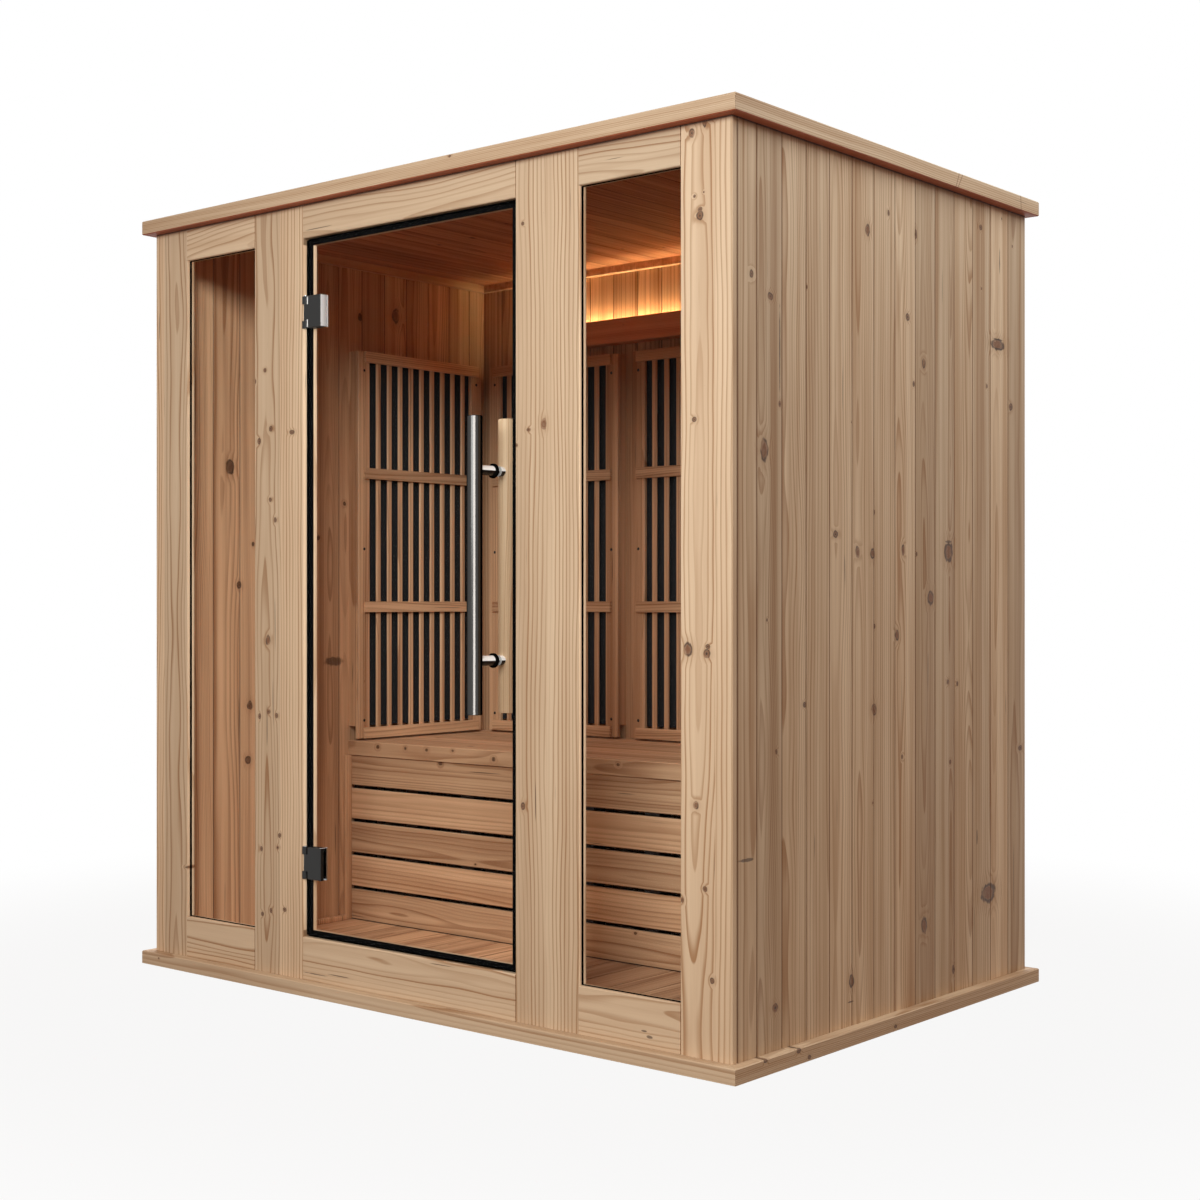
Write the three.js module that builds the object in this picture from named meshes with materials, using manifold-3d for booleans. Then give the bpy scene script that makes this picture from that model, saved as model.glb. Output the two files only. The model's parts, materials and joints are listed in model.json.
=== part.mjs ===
// Infrared sauna cabin: a timber cabin with a glazed front, a hinged glass door, a bench and slatted heaters.
// Millimetres, +Z up. +Y runs from the glazed front to the back wall.
// The origin is on the floor under the middle of the walls.
import * as THREE from 'three';
import { mergeVertices } from 'three/addons/utils/BufferGeometryUtils.js';
import Module from 'manifold-3d';

// Gap left between pieces that touch, and the eased edge of planed timber
const FIT = 0.3;
const EASE = 2;

// Cabin: outside of the walls, overall height, and how far the base and the roof edge stand out
const WALL_WIDTH = 1818;
const WALL_DEPTH = 1214;
const HEIGHT = 1900;
const OVERHANG = 25;
const PLINTH_HEIGHT = 32;
const CAP_HEIGHT = 35;

// Walls: an outer skin and an inner skin of tongued boards
const CLADDING_THICK = 25;
const LINING_THICK = 24.5;
const BOARD_PITCH = 87.1;
const GROOVE_WIDTH = 3.2;
const GROOVE_DEPTH = 3;
const NARROWEST_BOARD = 25;

// Roof: boards lying in a rebate of the roof edge, which shows inside as a strip above the lining
const ROOF_THICK = 18;
const CAP_LIP = 40;
const CROWN = 8;

// Floor: boards with open joints on cross bearers
const FLOOR_TOP = 37;
const FLOOR_BOARD_THICK = 20;
const FLOOR_PITCH = 95;
const FLOOR_JOINT = 4;
const FLOOR_JOINT_DEPTH = 9;
const BEARER_WIDTH = 45;
const BEARER_COUNT = 7;

// Glazed front: corner stiles, door posts, head and sill rails
const FRONT_THICK = 24;
const STILE_WIDTH = 126.5;
const POST_WIDTH = 177;
const DOOR_OPENING = 682;
const HEAD_RAIL = 79.5;
const SILL_RAIL = 100.5;
const CORNER_LIP = 14;
const SHADOW_GAP = 3;

// Fixed windows: glass in a gasket in a groove of the frame
const WINDOW_LIP = 9;
const WINDOW_GLASS = 4;
const GASKET_WALL = 0.7;
const GASKET_PROUD = 1;
const GLASS_BITE = 5;
const GLAZING_DEPTH = 8;

// Door: glass leaf in a rebated opening, closing against a black seal on the stop
const DOOR_GLASS = 8;
const DOOR_RECESS = 8;
const DOOR_GAP = 5;
const STOP_WIDTH = 15;
const STOP_THICK = 12;
const SEAL_THICK = 3;
const SEAL_GAP = 1;

// Glass hinges: a leaf on the post, a pin, and two plates that clamp the glass
const HINGE_HEIGHT = 76;
const HINGE_INSET = 171;
const HINGE_AXIS_X = 8;
const HINGE_AXIS_Y = 2;
const KNUCKLE_RADIUS = 4.5;
const KNUCKLE_LENGTH = 18;
const KNUCKLE_GAP = 0.5;
const PIN_RADIUS = 2.5;
const PIN_PLAY = 0.12;
const PIN_HEAD = 1.5;
const LEAF_THICK = 2.7;
const LEAF_CLEAR = 1;
const CLAMP_START = 12;
const CLAMP_WIDTH = 45;
const CLAMP_THICK = 10.7;
const CLAMP_BEVEL = 1.8;
const BACK_PLATE_THICK = 5;
const BOSS_RADIUS = 6;
const BOSS_SPACING = 40;
const BOSS_PLAY = 1;

// Door handle: a steel bar outside, a timber bar inside, and two spindles through the glass
const HANDLE_LENGTH = 637;
const HANDLE_HEIGHT = 1003;
const HANDLE_INSET = 63;
const OUTER_BAR_RADIUS = 17;
const OUTER_STANDOFF = 45;
const BAR_END_BEVEL = 1.5;
const INNER_BAR_WIDTH = 36;
const INNER_BAR_DEPTH = 28;
const INNER_BAR_ROUND = 9;
const INNER_STANDOFF = 19;
const SPINDLE_SPACING = 408;
const SPINDLE_RADIUS = 11;
const SPINDLE_STUD_RADIUS = 5;
const SPINDLE_SEAT = 12;
const WASHER_THICK = 3;
const STUD_PLAY = 1.5;

// Bench: a slab of boards on a frame, with a boarded front
const BENCH_TOP = 537.5;
const BENCH_THICK = 40;
const BENCH_DEPTH = 550;
const BENCH_NOSE = 5;
const BENCH_BOARD_PITCH = 91;
const BENCH_JOINT = 3;
const BENCH_JOINT_DEPTH = 8;
const FASCIA_THICK = 18;
const FASCIA_BOARDS = 5;
const FASCIA_JOINT = 9.5;
const FASCIA_BATTEN = 45;
const FRAME_TIMBER = 45;
const FRAME_DEEP = 58;
const BENCH_BEARERS = 9;

// Heaters: a black panel emitter behind a slatted timber guard
const HEATER_CLEAR = 6;
const HEATER_BELOW_PELMET = 30.5;
const HEATER_GAP = 54;
const HEATER_CORNER = 61.2;
const HEATER_CORNER_CLEAR = 3.3;
const HEATER_BACK_COUNT = 3;
const CHEEK_DEPTH = 26;
const CHEEK_THICK = 18;
const CHEEK_RAISE = 34;
const GUARD_STILE = 44;
const GUARD_THICK = 14;
const SLAT_COUNT = 9;
const SLAT_WIDTH = 17;
const SLAT_THICK = 7;
const RAIL_HEIGHT = 30;
const RAIL_THICK = 9;
const RAIL_INSET = 20;
const LOW_RAIL_AT = 368;
const HIGH_RAIL_AT = 742;
const EMITTER_LIP = 12;
const EMITTER_RECESS = 3;
const SLAT_EASE = 2.5;
const SINK = 0.6;

// Light pelmet on the back wall: a board on a shelf, open at the top
const PELMET_LENGTH = 1340;
const PELMET_DROP = 157;
const PELMET_HEIGHT = 68;
const PELMET_DEPTH = 45;
const PELMET_BOARD = 18;
const PELMET_SHELF = 15;

// Power unit under the bench and touch panel beside the door
const UNIT_WIDTH = 320;
const UNIT_DEPTH = 210;
const UNIT_HEIGHT = 110;
const UNIT_FROM_WALL = 240;
const UNIT_FROM_FASCIA = 130;
const UNIT_FOOT = 6;
const UNIT_FOOT_WIDTH = 24;
const UNIT_LID = 14;
const UNIT_LID_OVER = 4;
const PANEL_WIDTH = 92;
const PANEL_LENGTH = 150;
const PANEL_DEPTH = 13;
const PANEL_LEVEL = 1360;
const PANEL_BEVEL = 4;
const PANEL_SCREEN_BORDER = 9;
const PANEL_SCREEN_DEPTH = 1.2;

// Facets of round pieces
const BAR_FACETS = 40;
const SPINDLE_FACETS = 32;
const PIN_FACETS = 24;
const BOSS_FACETS = 20;
const ROUND_FACETS = 6;

// Levels and planes that follow from the sizes above
const OUT_X = WALL_WIDTH / 2;
const FRONT_Y = -WALL_DEPTH / 2;
const BACK_Y = WALL_DEPTH / 2;
const WALL_THICK = CLADDING_THICK + FIT + LINING_THICK;
const IN_X = OUT_X - WALL_THICK;
const IN_BACK_Y = BACK_Y - WALL_THICK;
const WALL_BOTTOM = PLINTH_HEIGHT + FIT;
const CAP_BOTTOM = HEIGHT - CAP_HEIGHT;
const WALL_TOP = CAP_BOTTOM - FIT;
const OPENING_TOP = WALL_TOP - HEAD_RAIL;
const OPENING_BOTTOM = WALL_BOTTOM + SILL_RAIL;
const FRAME_BACK_Y = FRONT_Y + FRONT_THICK;
const DOOR_EDGE_X = DOOR_OPENING / 2;
const POST_EDGE_X = DOOR_EDGE_X + POST_WIDTH;
const STILE_EDGE_X = OUT_X - STILE_WIDTH;
const GLAZING_WIDTH = WINDOW_GLASS + 2 * GASKET_WALL + 4 * FIT;
const GLAZING_FRONT_Y = FRONT_Y + WINDOW_LIP;
const GLAZING_BACK_Y = GLAZING_FRONT_Y + GLAZING_WIDTH;
const DOOR_FRONT_Y = FRONT_Y + DOOR_RECESS;
const DOOR_BACK_Y = DOOR_FRONT_Y + DOOR_GLASS;
const SEAL_FRONT_Y = DOOR_BACK_Y + SEAL_GAP;
const STOP_FRONT_Y = SEAL_FRONT_Y + SEAL_THICK + FIT;
const STOP_BACK_Y = STOP_FRONT_Y + STOP_THICK;
const DOOR_LEFT_X = -DOOR_EDGE_X + DOOR_GAP;
const DOOR_RIGHT_X = DOOR_EDGE_X - DOOR_GAP;
const DOOR_BOTTOM = OPENING_BOTTOM + DOOR_GAP;
const DOOR_TOP = OPENING_TOP - DOOR_GAP;
const AXIS_X = -DOOR_EDGE_X + HINGE_AXIS_X;
const AXIS_Y = FRONT_Y + HINGE_AXIS_Y;
const CLAMP_X0 = AXIS_X + CLAMP_START;
const CLAMP_X1 = CLAMP_X0 + CLAMP_WIDTH;
const BOSS_X = (CLAMP_X0 + CLAMP_X1) / 2;
const HINGE_LEVELS = { upper: DOOR_TOP - HINGE_INSET, lower: DOOR_BOTTOM + HINGE_INSET };
const HANDLE_X = DOOR_RIGHT_X - HANDLE_INSET;
const SPINDLE_LEVELS = {
  upper: HANDLE_HEIGHT + SPINDLE_SPACING / 2,
  lower: HANDLE_HEIGHT - SPINDLE_SPACING / 2,
};
const BENCH_FRONT_Y = IN_BACK_Y - FIT - BENCH_DEPTH;
const BENCH_BOTTOM = BENCH_TOP - BENCH_THICK;
const FASCIA_FRONT_Y = BENCH_FRONT_Y + BENCH_NOSE;
const FASCIA_BACK_Y = FASCIA_FRONT_Y + FASCIA_THICK;
const CEILING = HEIGHT - ROOF_THICK;
const PELMET_BOTTOM = CEILING - PELMET_DROP - PELMET_HEIGHT;
const GUARD_FRONT = CHEEK_DEPTH + GUARD_THICK;
const HEATER_DEPTH = GUARD_FRONT + RAIL_THICK;
const HEATER_BOTTOM = BENCH_TOP + HEATER_CLEAR;
const HEATER_HEIGHT = PELMET_BOTTOM - HEATER_BELOW_PELMET - HEATER_BOTTOM;
const HEATER_GAPS = 2 * HEATER_CORNER + (HEATER_BACK_COUNT - 1) * HEATER_GAP;
const HEATER_WIDTH = (2 * IN_X - HEATER_GAPS) / HEATER_BACK_COUNT;

// Colours of the materials
const exteriorTimber = new THREE.MeshStandardMaterial({ color: 0xd3b48e, roughness: 0.62, metalness: 0 });
const interiorTimber = new THREE.MeshStandardMaterial({ color: 0xb98a60, roughness: 0.65, metalness: 0 });
const blackRubber = new THREE.MeshStandardMaterial({ color: 0x121315, roughness: 0.55, metalness: 0 });
const clearGlass = new THREE.MeshStandardMaterial({
  color: 0xe9f0ee, roughness: 0.03, metalness: 0, transparent: true, opacity: 0.2,
});
const darkMetal = new THREE.MeshStandardMaterial({ color: 0x373635, roughness: 0.45, metalness: 0.6 });
const brightSteel = new THREE.MeshStandardMaterial({ color: 0xb9bbbd, roughness: 0.25, metalness: 1 });
const emitterBlack = new THREE.MeshStandardMaterial({ color: 0x1b1c1e, roughness: 0.7, metalness: 0 });
const unitGrey = new THREE.MeshStandardMaterial({ color: 0x8d9092, roughness: 0.5, metalness: 0.4 });
const panelBlack = new THREE.MeshStandardMaterial({ color: 0x17181a, roughness: 0.2, metalness: 0 });

const cabin = new THREE.Group();

// Adds a named piece to a group and returns it
function piece(name, geometry, material, parent = cabin) {
  const mesh = new THREE.Mesh(geometry, material);
  mesh.name = name;
  parent.add(mesh);
  return mesh;
}

// Joining and cutting of closed shapes
const wasm = await Module();
wasm.setup();

function toSolid(geometry) {
  const bare = geometry.clone();
  bare.deleteAttribute('normal');
  bare.deleteAttribute('uv');
  const merged = mergeVertices(bare, 1e-4);
  const vertProperties = new Float32Array(merged.attributes.position.array);
  const triVerts = new Uint32Array(merged.index.array);
  return new wasm.Manifold(new wasm.Mesh({ numProp: 3, vertProperties, triVerts }));
}

function toGeometry(solid) {
  const mesh = solid.getMesh();
  const geometry = new THREE.BufferGeometry();
  geometry.setAttribute('position', new THREE.BufferAttribute(mesh.vertProperties, 3));
  geometry.setIndex(new THREE.BufferAttribute(mesh.triVerts, 1));
  geometry.computeVertexNormals();
  return geometry;
}

function join(geometries) {
  return toGeometry(geometries.map(toSolid).reduce((whole, next) => whole.add(next)));
}

function cut(body, tools) {
  return toGeometry(tools.map(toSolid).reduce((rest, tool) => rest.subtract(tool), toSolid(body)));
}

// Profiles: a polygon, and a rectangle with eased corners
function polygon(points) {
  return new THREE.Shape(points.map(([a, b]) => new THREE.Vector2(a, b)));
}

function rectangle(a0, a1, b0, b1) {
  return polygon([[a0, b0], [a1, b0], [a1, b1], [a0, b1]]);
}

function eased(a0, a1, b0, b1, ease = EASE) {
  return polygon([
    [a0 + ease, b0], [a1 - ease, b0], [a1, b0 + ease], [a1, b1 - ease],
    [a1 - ease, b1], [a0 + ease, b1], [a0, b1 - ease], [a0, b0 + ease],
  ]);
}

// Profiles drawn in plan (x, y), in side view (y, z) and in front view (x, z), run along the third axis
const FLAT_ENDS = { bevelEnabled: false, curveSegments: ROUND_FACETS };

function alongZ(shape, z0, z1) {
  const geometry = new THREE.ExtrudeGeometry(shape, { ...FLAT_ENDS, depth: z1 - z0 });
  return geometry.translate(0, 0, z0);
}

const SIDE_VIEW = new THREE.Matrix4().makeBasis(
  new THREE.Vector3(0, 1, 0), new THREE.Vector3(0, 0, 1), new THREE.Vector3(1, 0, 0));
const FRONT_VIEW = new THREE.Matrix4().makeBasis(
  new THREE.Vector3(1, 0, 0), new THREE.Vector3(0, 0, 1), new THREE.Vector3(0, -1, 0));

function alongX(shape, x0, x1) {
  const geometry = new THREE.ExtrudeGeometry(shape, { ...FLAT_ENDS, depth: x1 - x0 });
  return geometry.applyMatrix4(SIDE_VIEW).translate(x0, 0, 0);
}

function alongY(shape, y0, y1) {
  const geometry = new THREE.ExtrudeGeometry(shape, { ...FLAT_ENDS, depth: y1 - y0 });
  return geometry.applyMatrix4(FRONT_VIEW).translate(0, y1, 0);
}

// A round piece about an axis along Y: pairs of [radius, y] from one end on the axis to the other
function turnedAlongY(profile, x, z, facets) {
  const points = profile.map(([radius, y]) => new THREE.Vector2(radius, y));
  return new THREE.LatheGeometry(points, facets).translate(x, 0, z);
}

// A round piece about an upright axis
function turnedAlongZ(profile, x, y, facets) {
  const points = profile.map(([radius, z]) => new THREE.Vector2(radius, z));
  return new THREE.LatheGeometry(points, facets).rotateX(Math.PI / 2).translate(x, y, 0);
}

// A band of boards: the back is flat at 0, the face at minus the thickness has a V groove at each joint
function boardProfile(length, thick, joints) {
  const points = [[0, 0], [0, -thick]];
  for (const at of joints) {
    points.push([at - GROOVE_WIDTH / 2, -thick], [at, GROOVE_DEPTH - thick], [at + GROOVE_WIDTH / 2, -thick]);
  }
  points.push([length, -thick], [length, 0]);
  return polygon(points);
}

// Joints of boards laid from one end; the last board takes what is left
function jointsFromStart(length, pitch) {
  const joints = [];
  for (let at = pitch; at < length - NARROWEST_BOARD; at += pitch) joints.push(at);
  return joints;
}

function jointsFromEnd(length, pitch) {
  return jointsFromStart(length, pitch).map((at) => length - at).reverse();
}

function centredJoints(length, pitch) {
  const joints = [];
  const half = Math.floor((length / 2 - NARROWEST_BOARD) / pitch);
  for (let step = -half; step <= half; step += 1) joints.push(length / 2 + step * pitch);
  return joints;
}

// A wall skin of upright boards, drawn with its face towards -Y and turned into place
function wallSkin(name, length, thick, joints, material, place) {
  const skin = piece(name, alongZ(boardProfile(length, thick, joints), WALL_BOTTOM, WALL_TOP), material);
  skin.position.set(place.x, place.y, 0);
  skin.rotation.z = place.turn;
}

const FACE_RIGHT = Math.PI / 2;
const FACE_LEFT = -Math.PI / 2;
const FACE_BACK = Math.PI;
const FACE_FRONT = 0;

// Base and roof edge: four mitred boards each

// One mitred layer in plan: outer length and offset from the centre, board width, both mitres at 45 degrees
function mitredPlan(outerHalf, outerOffset, width) {
  const shy = FIT / 2;
  return polygon([
    [-outerHalf + shy, -outerOffset], [outerHalf - shy, -outerOffset],
    [outerHalf - width - shy, -outerOffset + width], [-outerHalf + width + shy, -outerOffset + width],
  ]);
}

const EDGE_X = OUT_X + OVERHANG;
const EDGE_Y = BACK_Y + OVERHANG;
const SIDES = {
  front: { half: EDGE_X, offset: EDGE_Y, turn: 0 },
  right: { half: EDGE_Y, offset: EDGE_X, turn: Math.PI / 2 },
  back: { half: EDGE_X, offset: EDGE_Y, turn: Math.PI },
  left: { half: EDGE_Y, offset: EDGE_X, turn: -Math.PI / 2 },
};

function plinths() {
  const width = OVERHANG + WALL_THICK;
  for (const [side, { half, offset, turn }] of Object.entries(SIDES)) {
    const body = alongZ(mitredPlan(half, offset, width), 0, PLINTH_HEIGHT);
    const arris = alongX(polygon([
      [-offset, PLINTH_HEIGHT - EASE], [-offset + EASE, PLINTH_HEIGHT],
      [-offset, PLINTH_HEIGHT + EASE], [-offset - EASE, PLINTH_HEIGHT],
    ]), -half - EASE, half + EASE);
    piece(`plinth_${side}`, cut(body, [arris]), exteriorTimber).rotation.z = turn;
  }
}

function caps() {
  const width = OVERHANG + WALL_THICK + CROWN;
  for (const [side, { half, offset, turn }] of Object.entries(SIDES)) {
    const lower = alongZ(mitredPlan(half, offset, width), CAP_BOTTOM, CEILING);
    const upper = alongZ(mitredPlan(half, offset, CAP_LIP), CEILING - SINK, HEIGHT);
    const arrisAt = (z) => alongX(polygon([
      [-offset, z - EASE], [-offset + EASE, z], [-offset, z + EASE], [-offset - EASE, z],
    ]), -half - EASE, half + EASE);
    const board = cut(join([lower, upper]), [arrisAt(CAP_BOTTOM), arrisAt(HEIGHT)]);
    piece(`cap_${side}`, board, exteriorTimber).rotation.z = turn;
  }
}

// Roof boards run front to back; their grooved faces are the ceiling
function roofPanel() {
  const halfX = EDGE_X - CAP_LIP - FIT;
  const halfY = EDGE_Y - CAP_LIP - FIT;
  const joints = centredJoints(2 * halfX, BOARD_PITCH);
  const profile = boardProfile(2 * halfX, ROOF_THICK - FIT, joints);
  const panel = alongY(profile, -halfY, halfY).translate(-halfX, 0, HEIGHT);
  piece('roof_panel', panel, interiorTimber);
}

// Floor boards run front to back over bearers that stand on the ground
function floorDeck() {
  const halfX = IN_X - FIT;
  const y0 = FRONT_Y + WALL_THICK + FIT;
  const y1 = IN_BACK_Y - FIT;
  const underside = FLOOR_TOP - FLOOR_BOARD_THICK;
  const points = [[-halfX, underside], [halfX, underside], [halfX, FLOOR_TOP]];
  const half = Math.floor((halfX - NARROWEST_BOARD) / FLOOR_PITCH);
  for (let step = half; step >= -half; step -= 1) {
    const at = step * FLOOR_PITCH;
    points.push([at + FLOOR_JOINT / 2, FLOOR_TOP], [at + FLOOR_JOINT / 2, FLOOR_TOP - FLOOR_JOINT_DEPTH]);
    points.push([at - FLOOR_JOINT / 2, FLOOR_TOP - FLOOR_JOINT_DEPTH], [at - FLOOR_JOINT / 2, FLOOR_TOP]);
  }
  points.push([-halfX, FLOOR_TOP]);
  const boards = alongY(polygon(points), y0, y1);
  const bearers = [];
  for (let index = 0; index < BEARER_COUNT; index += 1) {
    const near = y0 + (index * (y1 - y0 - BEARER_WIDTH)) / (BEARER_COUNT - 1);
    bearers.push(alongX(rectangle(near, near + BEARER_WIDTH, 0, underside + SINK), -halfX, halfX));
  }
  piece('floor_deck', join([boards, ...bearers]), interiorTimber);
}

// Side and back walls
function walls() {
  const claddingFront = FRONT_Y + CORNER_LIP + SHADOW_GAP;
  const sideLength = BACK_Y - claddingFront;
  const claddingX = OUT_X - CLADDING_THICK;
  const sideJoints = jointsFromEnd(sideLength, BOARD_PITCH);
  const mirrored = sideJoints.map((at) => sideLength - at).reverse();
  wallSkin('right_wall_cladding', sideLength, CLADDING_THICK, sideJoints, exteriorTimber,
    { x: claddingX, y: claddingFront, turn: FACE_RIGHT });
  wallSkin('left_wall_cladding', sideLength, CLADDING_THICK, mirrored, exteriorTimber,
    { x: -claddingX, y: BACK_Y, turn: FACE_LEFT });

  const backLength = 2 * (claddingX - FIT);
  wallSkin('back_wall_cladding', backLength, CLADDING_THICK, centredJoints(backLength, BOARD_PITCH),
    exteriorTimber, { x: backLength / 2, y: BACK_Y - CLADDING_THICK, turn: FACE_BACK });

  const liningFront = FRAME_BACK_Y + FIT;
  const liningBack = IN_BACK_Y + LINING_THICK;
  const liningLength = liningBack - liningFront;
  const liningJoints = jointsFromEnd(liningLength, BOARD_PITCH);
  const liningMirrored = liningJoints.map((at) => liningLength - at).reverse();
  const liningX = IN_X + LINING_THICK;
  wallSkin('left_wall_lining', liningLength, LINING_THICK, liningJoints, interiorTimber,
    { x: -liningX, y: liningFront, turn: FACE_RIGHT });
  wallSkin('right_wall_lining', liningLength, LINING_THICK, liningMirrored, interiorTimber,
    { x: liningX, y: liningBack, turn: FACE_LEFT });

  const backLining = 2 * (IN_X - FIT);
  wallSkin('back_wall_lining', backLining, LINING_THICK, centredJoints(backLining, BOARD_PITCH),
    interiorTimber, { x: -backLining / 2, y: liningBack, turn: FACE_FRONT });
}

// Glazed front: plan profiles of the uprights, drawn for the right half and mirrored for the left

// Groove of a window edge at a given x, opening towards the window
function glazingGroove(edge, into) {
  const bottom = edge + into * GLAZING_DEPTH;
  return [
    [edge, GLAZING_FRONT_Y], [bottom, GLAZING_FRONT_Y],
    [bottom, GLAZING_BACK_Y], [edge, GLAZING_BACK_Y],
  ];
}

function cornerStilePlan() {
  const skinX = OUT_X - CLADDING_THICK - FIT;
  const lipBack = FRONT_Y + CORNER_LIP;
  return [
    [STILE_EDGE_X, FRONT_Y + EASE], [STILE_EDGE_X + EASE, FRONT_Y],
    [OUT_X - EASE, FRONT_Y], [OUT_X, FRONT_Y + EASE], [OUT_X, lipBack], [skinX, lipBack],
    [skinX, FRAME_BACK_Y], [STILE_EDGE_X, FRAME_BACK_Y],
    ...glazingGroove(STILE_EDGE_X, 1).reverse(),
  ];
}

function doorPostPlan() {
  const stopX = DOOR_EDGE_X - STOP_WIDTH;
  const noseX = DOOR_EDGE_X + STOP_WIDTH;
  return [
    [DOOR_EDGE_X, FRONT_Y + EASE], [DOOR_EDGE_X + EASE, FRONT_Y],
    [POST_EDGE_X - EASE, FRONT_Y], [POST_EDGE_X, FRONT_Y + EASE],
    ...glazingGroove(POST_EDGE_X, -1),
    [POST_EDGE_X, FRAME_BACK_Y], [noseX, FRAME_BACK_Y], [noseX, STOP_BACK_Y],
    [stopX + EASE, STOP_BACK_Y], [stopX, STOP_BACK_Y - EASE],
    [stopX, STOP_FRONT_Y], [DOOR_EDGE_X, STOP_FRONT_Y],
  ];
}

function mirroredPlan(points) {
  return points.map(([x, y]) => [-x, y]).reverse();
}

function uprights() {
  const stile = cornerStilePlan();
  const post = doorPostPlan();
  const plans = {
    left_corner_stile: mirroredPlan(stile),
    hinge_post: mirroredPlan(post),
    handle_post: post,
    right_corner_stile: stile,
  };
  for (const [name, plan] of Object.entries(plans)) {
    piece(name, alongZ(polygon(plan), WALL_BOTTOM, WALL_TOP), exteriorTimber);
  }
}

// Side view of a window rail: flat outer end, eased and grooved edge towards the window
function windowRailProfile(outer, edge) {
  const into = Math.sign(outer - edge);
  const bottom = edge + into * GLAZING_DEPTH;
  return polygon([
    [FRONT_Y, outer], [FRONT_Y, edge + into * EASE], [FRONT_Y + EASE, edge],
    [GLAZING_FRONT_Y, edge], [GLAZING_FRONT_Y, bottom], [GLAZING_BACK_Y, bottom], [GLAZING_BACK_Y, edge],
    [FRAME_BACK_Y, edge], [FRAME_BACK_Y, outer],
  ]);
}

function windowRails() {
  const x0 = POST_EDGE_X + FIT;
  const x1 = STILE_EDGE_X - FIT;
  const spans = { left: [-x1, -x0], right: [x0, x1] };
  for (const [side, [from, to]] of Object.entries(spans)) {
    const head = windowRailProfile(WALL_TOP, OPENING_TOP);
    const sill = windowRailProfile(WALL_BOTTOM, OPENING_BOTTOM);
    piece(`${side}_window_head`, alongX(head, from, to), exteriorTimber);
    piece(`${side}_window_sill`, alongX(sill, from, to), exteriorTimber);
  }
}

// Door rails: a front board between the posts and a stop that fits between the posts' stops
function doorRail(name, outer, edge) {
  const into = Math.sign(outer - edge);
  const half = DOOR_EDGE_X - FIT;
  const stopHalf = half - STOP_WIDTH;
  const stopEdge = edge - into * STOP_WIDTH;
  const front = alongX(polygon([
    [FRONT_Y, outer], [FRONT_Y, edge + into * EASE], [FRONT_Y + EASE, edge],
    [STOP_FRONT_Y - FIT, edge], [STOP_FRONT_Y - FIT, outer],
  ]), -half, half);
  const stop = alongX(polygon([
    [STOP_FRONT_Y - FIT - SINK, outer], [STOP_FRONT_Y - FIT - SINK, edge + into * SINK],
    [STOP_FRONT_Y, edge + into * SINK], [STOP_FRONT_Y, stopEdge],
    [STOP_BACK_Y - EASE, stopEdge], [STOP_BACK_Y, stopEdge + into * EASE],
    [STOP_BACK_Y, edge + into * STOP_WIDTH], [FRAME_BACK_Y, edge + into * STOP_WIDTH], [FRAME_BACK_Y, outer],
  ]), -stopHalf, stopHalf);
  piece(name, join([front, stop]), exteriorTimber);
}

// Windows: glass held in a U-shaped gasket
function frameAround(x0, x1, z0, z1, border) {
  const shape = rectangle(x0, x1, z0, z1);
  const hole = new THREE.Path();
  hole.moveTo(x0 + border, z0 + border);
  hole.lineTo(x1 - border, z0 + border);
  hole.lineTo(x1 - border, z1 - border);
  hole.lineTo(x0 + border, z1 - border);
  hole.closePath();
  shape.holes.push(hole);
  return shape;
}

function windows() {
  const spans = { left: [-STILE_EDGE_X, -POST_EDGE_X], right: [POST_EDGE_X, STILE_EDGE_X] };
  const reach = GLAZING_DEPTH - FIT;
  const glassFront = GLAZING_FRONT_Y + 2 * FIT + GASKET_WALL;
  const glassBack = glassFront + WINDOW_GLASS;
  for (const [side, [x0, x1]] of Object.entries(spans)) {
    const pane = (grow) => rectangle(x0 - GLASS_BITE - grow, x1 + GLASS_BITE + grow,
      OPENING_BOTTOM - GLASS_BITE - grow, OPENING_TOP + GLASS_BITE + grow);
    piece(`${side}_window_glass`, alongY(pane(0), glassFront, glassBack), clearGlass);
    const ring = frameAround(x0 - reach, x1 + reach, OPENING_BOTTOM - reach, OPENING_TOP + reach,
      reach + GASKET_PROUD);
    const gasket = alongY(ring, GLAZING_FRONT_Y + FIT, GLAZING_BACK_Y - FIT);
    const slot = alongY(pane(FIT), glassFront - FIT, glassBack + FIT);
    piece(`${side}_window_gasket`, cut(gasket, [slot]), blackRubber);
  }
}

// Door leaf: glass with holes for the hinge bosses and the handle studs, and the seal on the stop
function doorLeaf() {
  const pane = rectangle(DOOR_LEFT_X, DOOR_RIGHT_X, DOOR_BOTTOM, DOOR_TOP);
  const holes = [];
  for (const level of Object.values(HINGE_LEVELS)) {
    for (const offset of [-BOSS_SPACING / 2, BOSS_SPACING / 2]) {
      holes.push({ x: BOSS_X, z: level + offset, radius: BOSS_RADIUS + BOSS_PLAY });
    }
  }
  for (const level of Object.values(SPINDLE_LEVELS)) {
    holes.push({ x: HANDLE_X, z: level, radius: SPINDLE_STUD_RADIUS + STUD_PLAY });
  }
  for (const { x, z, radius } of holes) {
    const hole = new THREE.Path();
    hole.absarc(x, z, radius, 0, 2 * Math.PI, true);
    pane.holes.push(hole);
  }
  piece('door_glass', alongY(pane, DOOR_FRONT_Y, DOOR_BACK_Y), clearGlass);

  const seal = frameAround(-DOOR_EDGE_X + FIT, DOOR_EDGE_X - FIT, OPENING_BOTTOM + FIT, OPENING_TOP - FIT,
    STOP_WIDTH - FIT);
  piece('door_seal', alongY(seal, SEAL_FRONT_Y, SEAL_FRONT_Y + SEAL_THICK), blackRubber);
}

// Glass hinges

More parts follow.
